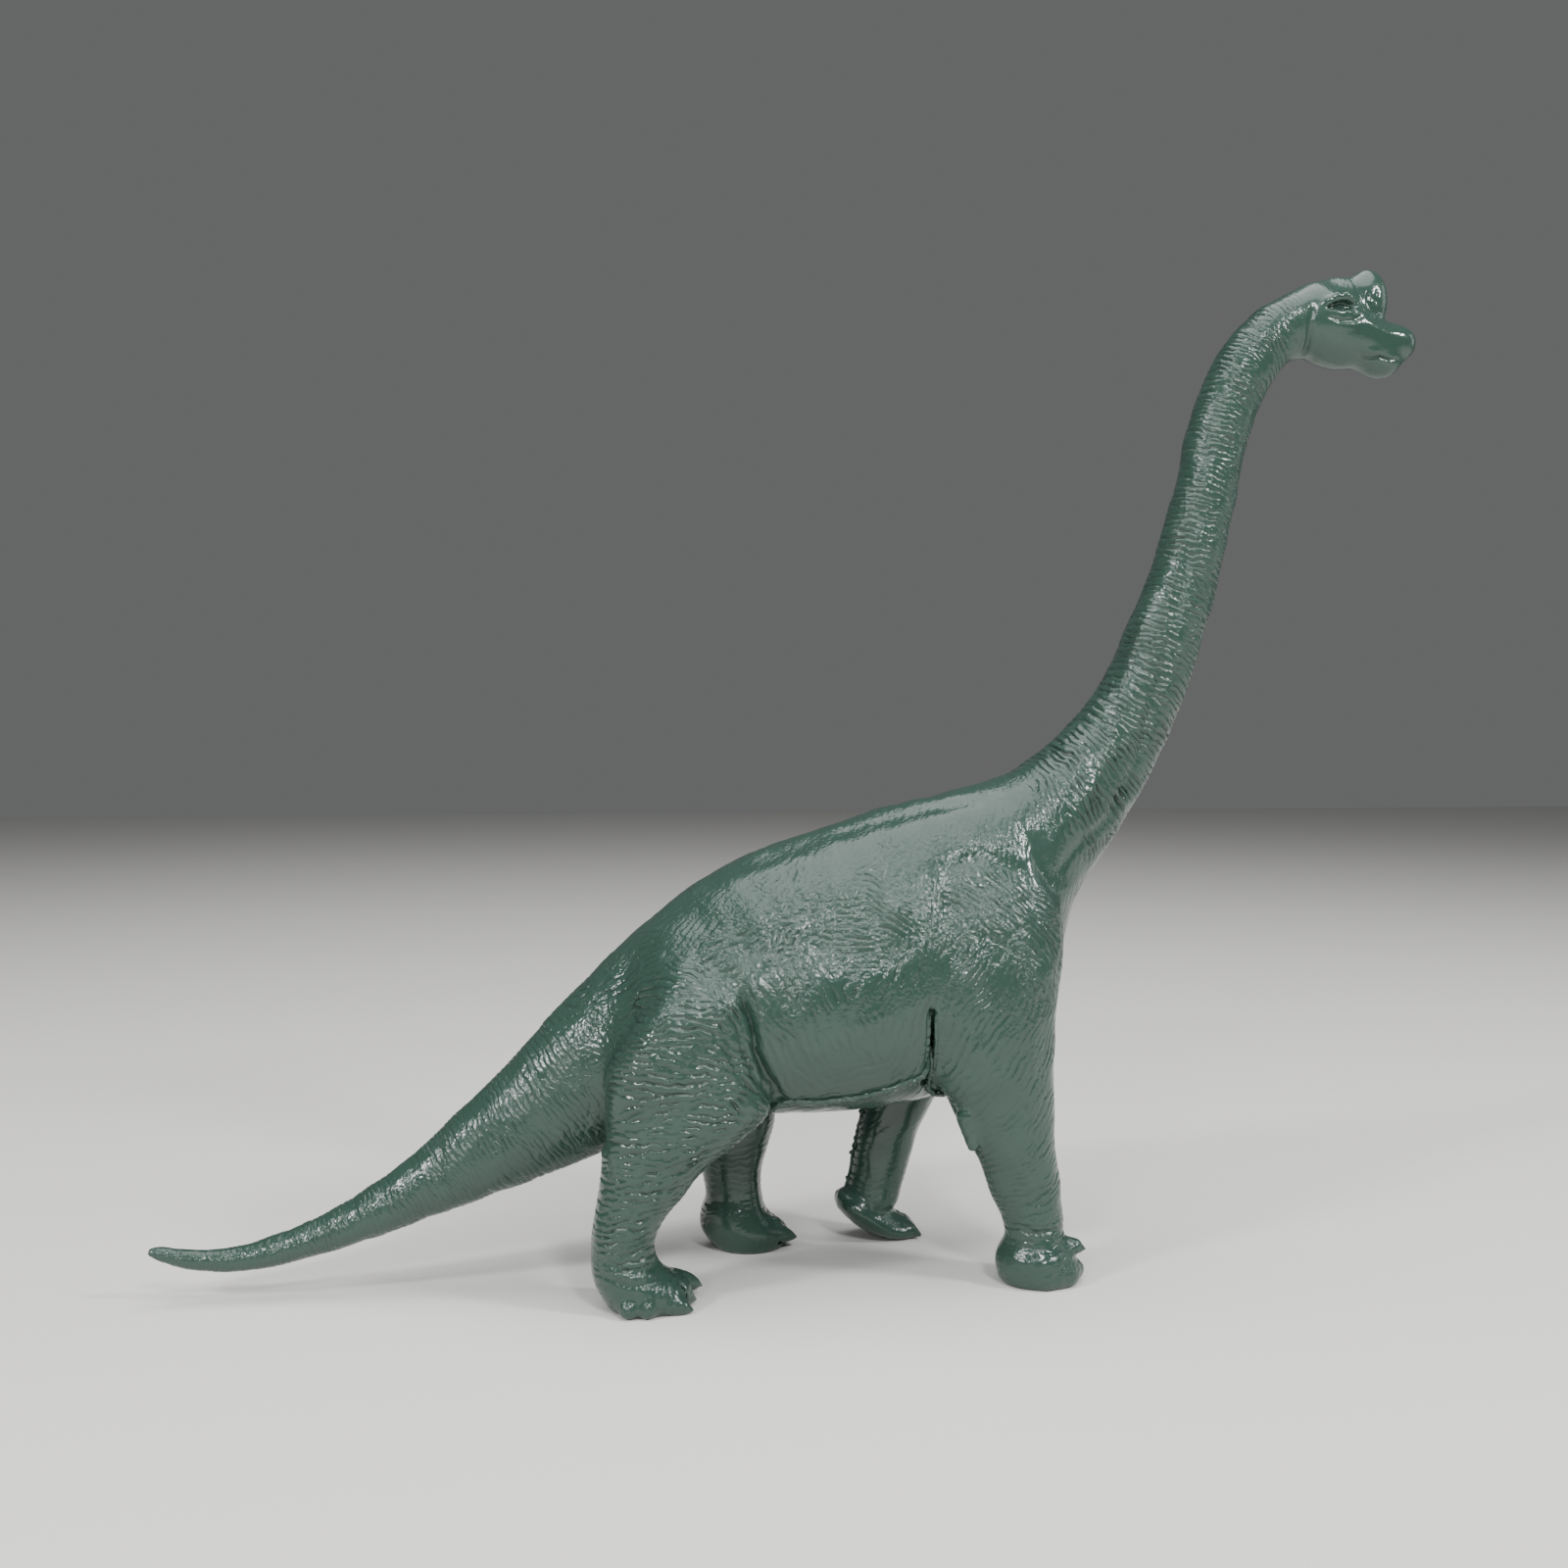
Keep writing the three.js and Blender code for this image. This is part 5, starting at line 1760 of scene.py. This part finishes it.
class BeadSettings(bpy.types.PropertyGroup):
    """The seam's bead and the flash"""

    seam_radius: bpy.props.FloatProperty(
        name="Seam bead", description="The radius of the bead round the belly panel",
        default=0.00095, min=0.0001, max=0.003, unit="LENGTH", precision=5,
    )
    flash_radius: bpy.props.FloatProperty(
        name="Flash", description="The radius of the flash behind the trailing leg",
        default=0.00055, min=0.0001, max=0.003, unit="LENGTH", precision=5,
    )
    spacing: bpy.props.FloatProperty(
        name="Spacing", description="The distance between a bead's rings", default=0.0005,
        min=0.0002, max=0.005, unit="LENGTH", precision=5,
    )
    unevenness: bpy.props.FloatProperty(
        name="Unevenness", description="How rough the beads are", default=2.6, min=0.0, max=4.0,
    )
    crumb_share: bpy.props.FloatProperty(
        name="Crumbs", description="The share of a bead's rings that carry a crumb", default=0.26,
        min=0.0, max=1.0, subtype="FACTOR",
    )


class StageSettings(bpy.types.PropertyGroup):
    """Camera, floor and lights"""

    camera_place: bpy.props.FloatVectorProperty(
        name="Camera", description="The camera's place", subtype="TRANSLATION", unit="LENGTH",
        size=3, default=(-0.0909, -0.460, 0.1536),
    )
    camera_turn: bpy.props.FloatVectorProperty(
        name="Camera turn", description="The camera's turn about X, Y and Z", subtype="EULER",
        unit="ROTATION", size=3, default=(math.radians(88.5), 0.0, math.radians(-10.0)),
    )
    lens: bpy.props.FloatProperty(
        name="Lens", description="The lens's length in millimetres, for a 36 mm wide frame",
        default=37.125, min=5.0, max=300.0, unit="CAMERA",
    )
    floor_size: bpy.props.FloatProperty(
        name="Floor", description="The floor's width", default=6.0, min=0.5, unit="LENGTH",
    )
    key_power: bpy.props.FloatProperty(
        name="Key light", description="The power of the key light", default=8.5,
        min=0.0, unit="POWER",
    )
    front_power: bpy.props.FloatProperty(
        name="Front light", description="The power of the front light", default=6.0,
        min=0.0, unit="POWER",
    )
    overhead_power: bpy.props.FloatProperty(
        name="Overhead light", description="The power of the overhead light", default=22.0,
        min=0.0, unit="POWER",
    )
    left_power: bpy.props.FloatProperty(
        name="Left light", description="The power of the left light", default=8.5,
        min=0.0, unit="POWER",
    )
    fill_power: bpy.props.FloatProperty(
        name="Fill light", description="The power of the fill light", default=3.0,
        min=0.0, unit="POWER",
    )
    rim_power: bpy.props.FloatProperty(
        name="Rim light", description="The power of the rim light", default=1.0,
        min=0.0, unit="POWER",
    )


# Beads of squeezed-out plastic along a path, by geometry nodes

BEAD_INPUTS = {
    "Geometry": "NodeSocketGeometry",
    "Radius": "NodeSocketFloat",
    "Spacing": "NodeSocketFloat",
    "Unevenness": "NodeSocketFloat",
    "Crumb size": "NodeSocketFloat",
    "Crumb share": "NodeSocketFloat",
    "Seed": "NodeSocketInt",
    "Material": "NodeSocketMaterial",
}

# Noise features for each metre: the bead swells over about 2.4 mm, its grain is about 0.8 mm
SWELL_SCALE = 420.0
GRAIN_SCALE = 1300.0
CRUMB_SHOVE = 0.5 * MM


def bead_tree():
    """A rough bead along the edges it is given, with crumbs on it."""
    tree = bpy.data.node_groups.new("rough_bead", "GeometryNodeTree")
    tree.is_modifier = True
    for name, kind in BEAD_INPUTS.items():
        tree.interface.new_socket(name=name, in_out="INPUT", socket_type=kind)
    tree.interface.new_socket(name="Geometry", in_out="OUTPUT", socket_type="NodeSocketGeometry")
    given = add_node(tree, "NodeGroupInput").outputs
    path = add_node(tree, "GeometryNodeMeshToCurve", Mesh=given["Geometry"])
    path = add_node(
        tree, "GeometryNodeResampleCurve", {"mode": "LENGTH"},
        Curve=path.outputs[0], Length=given["Spacing"],
    )
    swell = add_node(
        tree, "ShaderNodeTexNoise", {"noise_dimensions": "4D"},
        W=given["Seed"], Scale=SWELL_SCALE, Detail=2.0,
    )
    thickness = add_node(
        tree, "ShaderNodeMapRange", {"clamp": False},
        Value=swell.outputs[0], From_Min=0.3, From_Max=0.7, To_Min=0.45, To_Max=1.5,
    )
    path = add_node(
        tree, "GeometryNodeSetCurveRadius", Curve=path.outputs[0], Radius=thickness.outputs[0],
    )
    ring = add_node(tree, "GeometryNodeCurvePrimitiveCircle", Resolution=10, Radius=given["Radius"])
    tube = add_node(
        tree, "GeometryNodeCurveToMesh", Curve=path.outputs[0], Profile_Curve=ring.outputs[0],
        Fill_Caps=True,
    )
    crumb = add_node(tree, "GeometryNodeMeshIcoSphere", Radius=given["Crumb size"], Subdivisions=2)
    chosen = add_node(
        tree, "FunctionNodeRandomValue", {"data_type": "BOOLEAN"},
        Probability=given["Crumb share"], Seed=given["Seed"],
    )
    stretch, turn, shove = (
        add_node(
            tree, "FunctionNodeRandomValue", {"data_type": "FLOAT_VECTOR"},
            i0=(low, low, low), i1=(high, high, high), Seed=given["Seed"],
        )
        for low, high in ((0.5, 1.5), (0.0, 6.2), (-CRUMB_SHOVE, CRUMB_SHOVE))
    )
    crumbs = add_node(
        tree, "GeometryNodeInstanceOnPoints", Points=path.outputs[0], Selection=chosen.outputs[3],
        Instance=crumb.outputs[0], Rotation=turn.outputs[0], Scale=stretch.outputs[0],
    )
    crumbs = add_node(
        tree, "GeometryNodeTranslateInstances",
        Instances=crumbs.outputs[0], Translation=shove.outputs[0],
    )
    real = add_node(tree, "GeometryNodeRealizeInstances", Geometry=crumbs.outputs[0])
    joined = tree.nodes.new("GeometryNodeJoinGeometry")
    tree.links.new(tube.outputs[0], joined.inputs[0])
    tree.links.new(real.outputs[0], joined.inputs[0])
    rough = add_node(
        tree, "ShaderNodeTexNoise", {"noise_dimensions": "4D"},
        W=given["Seed"], Scale=GRAIN_SCALE, Detail=2.0,
    )
    push = add_node(tree, "ShaderNodeMath", {"operation": "SUBTRACT"}, i0=rough.outputs[0], i1=0.5)
    push = add_node(
        tree, "ShaderNodeMath", {"operation": "MULTIPLY"}, i0=push.outputs[0], i1=given["Unevenness"],
    )
    push = add_node(
        tree, "ShaderNodeMath", {"operation": "MULTIPLY"}, i0=push.outputs[0], i1=given["Radius"],
    )
    normal = add_node(tree, "GeometryNodeInputNormal")
    offset = add_node(
        tree, "ShaderNodeVectorMath", {"operation": "SCALE"},
        i0=normal.outputs[0], Scale=push.outputs[0],
    )
    moved = add_node(
        tree, "GeometryNodeSetPosition", Geometry=joined.outputs[0], Offset=offset.outputs[0],
    )
    smooth = add_node(tree, "GeometryNodeSetShadeSmooth", Geometry=moved.outputs[0])
    real = add_node(tree, "GeometryNodeRealizeInstances", Geometry=smooth.outputs[0])
    dressed = add_node(
        tree, "GeometryNodeSetMaterial", Geometry=real.outputs[0], Material=given["Material"],
    )
    add_node(tree, "NodeGroupOutput", Geometry=dressed.outputs[0])
    return tree


def make_bead(name, path, ring, values):
    """A finished bead along a path of places in millimetres, closed into a ring if asked."""
    last = len(path) if ring else len(path) - 1
    mesh = bpy.data.meshes.new(name + "_path")
    edges = [(k, (k + 1) % len(path)) for k in range(last)]
    mesh.from_pydata((np.array(path) * MM).tolist(), edges, [])
    host = bpy.data.objects.new(name + "_path", mesh)
    bpy.context.collection.objects.link(host)
    modifier = host.modifiers.new("bead", "NODES")
    tree = bpy.data.node_groups.get("rough_bead") or bead_tree()
    modifier.node_group = tree
    for item in tree.interface.items_tree:
        if item.in_out == "INPUT" and item.name != "Geometry":
            modifier[item.identifier] = values[item.name]
    graph = bpy.context.evaluated_depsgraph_get()
    made = bpy.data.meshes.new_from_object(host.evaluated_get(graph), depsgraph=graph)
    host.modifiers.remove(modifier)
    bpy.data.objects.remove(host)
    made.name = name
    made.materials.clear()
    made.materials.append(moulded_pvc())
    made.polygons.foreach_set("material_index", [0] * len(made.polygons))
    bead = bpy.data.objects.new(name, made)
    bpy.context.collection.objects.link(bead)
    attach(bead, "root")


# Crumbs: their size as a share of the bead's radius, and how much more of them the flash has
SEAM_CRUMB = 0.7
FLASH_CRUMB = 1.2
FLASH_CRUMB_SHARE = 1.4

# Paths: the seam's is lifted, evened and thinned out, the flash's is taken at steps in height
SEAM_LIFT = 1.3
SEAM_EVENED = 21
SEAM_SKIP = 3
FLASH_STEP = 0.8
FLASH_SLICE = 0.6
FLASH_HEIGHTS = (17, 46)


def belly_seam_path():
    """The belly panel's rim, evened out, and lifted back onto the torso's skin."""
    values, triangles = cut_skin("belly_panel")
    rim = max(rims(triangles), key=len)
    path = values[rim, :3] + values[rim, 3:6] * BELLY_RECESS * SEAM_LIFT
    shifts = range(-(SEAM_EVENED // 2), SEAM_EVENED - SEAM_EVENED // 2)
    return (sum(np.roll(path, k, axis=0) for k in shifts) / SEAM_EVENED)[::SEAM_SKIP]


def leg_rear_path(name, low, high):
    """The rearmost line of a leg's skin between two heights, evened out."""
    points = cut_skin(name)[0][:, :3]
    path = []
    for z in np.arange(low, high, FLASH_STEP):
        level = points[np.abs(points[:, 2] - z) < FLASH_SLICE]
        path.append(level[level[:, 0].argmin()])
    path = np.array(path)
    path[1:-1] = (path[:-2] + path[1:-1] + path[2:]) / 3
    return path


# Operators

class DINOSAUR_OT_torso(bpy.types.Operator):
    """Makes the hollow torso's skin, with its openings for neck, tail, legs and belly panel"""

    bl_idname = "dinosaur.torso"
    bl_label = "Torso"

    def execute(self, context):
        make_piece("torso_shell")
        return {"FINISHED"}


class DINOSAUR_OT_belly_panel(bpy.types.Operator):
    """Makes the belly panel that closes the torso from below"""

    bl_idname = "dinosaur.belly_panel"
    bl_label = "Belly panel"

    def execute(self, context):
        make_piece("belly_panel")
        return {"FINISHED"}


class DINOSAUR_OT_neck_and_head(bpy.types.Operator):
    """Makes the neck and the head with its crest, eyes, nostrils and mouth"""

    bl_idname = "dinosaur.neck_and_head"
    bl_label = "Neck and head"

    def execute(self, context):
        make_piece("neck_and_head")
        return {"FINISHED"}


class DINOSAUR_OT_tail(bpy.types.Operator):
    """Makes the tail"""

    bl_idname = "dinosaur.tail"
    bl_label = "Tail"

    def execute(self, context):
        make_piece("tail")
        return {"FINISHED"}


class DINOSAUR_OT_legs(bpy.types.Operator):
    """Makes the four legs with their claws and nails"""

    bl_idname = "dinosaur.legs"
    bl_label = "Legs"

    def execute(self, context):
        for name in LEGS:
            make_piece(name)
        return {"FINISHED"}


class DINOSAUR_OT_beads(bpy.types.Operator):
    """Makes the rough bead round the belly panel and the ragged flash behind the trailing leg"""

    bl_idname = "dinosaur.beads"
    bl_label = "Seam bead and flash"

    def execute(self, context):
        beads = context.scene.dinosaur_beads
        shared = {
            "Spacing": beads.spacing,
            "Unevenness": beads.unevenness,
            "Seed": SEED,
            "Material": moulded_pvc(),
        }
        make_bead("belly_seam_bead", belly_seam_path(), True, {
            "Radius": beads.seam_radius,
            "Crumb size": beads.seam_radius * SEAM_CRUMB,
            "Crumb share": beads.crumb_share,
            **shared,
        })
        make_bead("leg_flash", leg_rear_path("left_foreleg", *FLASH_HEIGHTS), False, {
            "Radius": beads.flash_radius,
            "Crumb size": beads.flash_radius * FLASH_CRUMB,
            "Crumb share": beads.crumb_share * FLASH_CRUMB_SHARE,
            **shared,
        })
        return {"FINISHED"}


# Lights: place and size in metres. All face the middle of the figure.
LIGHTS = {
    "key": ((0.86, -0.58, 0.8), (0.16, 0.16)),
    "front": ((0.14, -0.92, 0.78), (0.14, 0.14)),
    "overhead": ((0.05, -0.12, 1.35), (1.4, 1.4)),
    "left": ((-0.93, -0.55, 0.7), (0.16, 0.16)),
    "fill": ((-0.55, -1.03, 0.5), (0.16, 0.16)),
    "rim": ((1.2, 0.0, 0.5), (0.3, 0.7)),
}
LIT_MIDDLE = (0.02, 0, 0.13)


def add_light(name, place, size, power):
    """A soft box that faces the middle of the figure."""
    data = bpy.data.lights.new(name, "AREA")
    data.shape = "RECTANGLE"
    data.size = size[0]
    data.size_y = size[1]
    data.energy = power
    light = bpy.data.objects.new(name, data)
    light.location = place
    x, y, z = np.array(LIT_MIDDLE) - np.array(place)
    lift = math.atan2(z, math.hypot(x, y))
    light.rotation_euler = (math.pi / 2 + lift, 0, math.atan2(y, x) - math.pi / 2)
    bpy.context.collection.objects.link(light)


class DINOSAUR_OT_stage(bpy.types.Operator):
    """Makes the pale floor, the soft studio lights and the camera"""

    bl_idname = "dinosaur.stage"
    bl_label = "Stage"

    def execute(self, context):
        stage = context.scene.dinosaur_stage
        half = stage.floor_size / 2
        mesh = bpy.data.meshes.new("floor")
        corners = [(-half, -half, 0), (half, -half, 0), (half, half, 0), (-half, half, 0)]
        mesh.from_pydata(corners, [], [(0, 1, 2, 3)])
        floor = bpy.data.objects.new("floor", mesh)
        floor.data.materials.append(floor_finish())
        context.collection.objects.link(floor)
        for name, (place, size) in LIGHTS.items():
            add_light(name + "_light", place, size, getattr(stage, name + "_power"))
        world = bpy.data.worlds.new("pale_room")
        world.use_nodes = True
        background = world.node_tree.nodes["Background"]
        background.inputs["Color"].default_value = (*linear("E6E7E8"), 1)
        background.inputs["Strength"].default_value = 0.17
        context.scene.world = world
        camera_data = bpy.data.cameras.new("camera")
        camera_data.lens = stage.lens
        camera_data.sensor_width = 36
        camera_data.clip_start = 0.01
        camera = bpy.data.objects.new("camera", camera_data)
        camera.location = stage.camera_place
        camera.rotation_euler = stage.camera_turn
        context.collection.objects.link(camera)
        context.scene.camera = camera
        return {"FINISHED"}


class DINOSAUR_PT_panel(bpy.types.Panel):
    """Lists the pieces of the figure and the stage"""

    bl_idname = "DINOSAUR_PT_panel"
    bl_label = "Dinosaur figure"
    bl_space_type = "VIEW_3D"
    bl_region_type = "UI"
    bl_category = "Dinosaur"

    def draw(self, context):
        layout = self.layout
        for operator in OPERATORS:
            layout.operator(operator.bl_idname)
        for group in SETTINGS:
            settings = getattr(context.scene, group)
            box = layout.box()
            for key in type(settings).__annotations__:
                box.prop(settings, key)


OPERATORS = (
    DINOSAUR_OT_torso,
    DINOSAUR_OT_belly_panel,
    DINOSAUR_OT_legs,
    DINOSAUR_OT_tail,
    DINOSAUR_OT_neck_and_head,
    DINOSAUR_OT_beads,
    DINOSAUR_OT_stage,
)
SETTINGS = {
    "dinosaur_skin": SkinSettings,
    "dinosaur_plastic": PlasticSettings,
    "dinosaur_beads": BeadSettings,
    "dinosaur_stage": StageSettings,
}


def register():
    """Registers the add-on's classes and puts its settings on the scene."""
    for item in (*SETTINGS.values(), *OPERATORS, DINOSAUR_PT_panel):
        bpy.utils.register_class(item)
    for name, group in SETTINGS.items():
        setattr(bpy.types.Scene, name, bpy.props.PointerProperty(type=group))


def unregister():
    """Takes them away again."""
    for name in SETTINGS:
        delattr(bpy.types.Scene, name)
    for item in reversed((*SETTINGS.values(), *OPERATORS, DINOSAUR_PT_panel)):
        bpy.utils.unregister_class(item)


def main():
    """Makes all pieces and the stage."""
    register()
    bpy.ops.dinosaur.torso()
    bpy.ops.dinosaur.belly_panel()
    bpy.ops.dinosaur.legs()
    bpy.ops.dinosaur.tail()
    bpy.ops.dinosaur.neck_and_head()
    bpy.ops.dinosaur.beads()
    bpy.ops.dinosaur.stage()


if __name__ == "__main__":
    main()
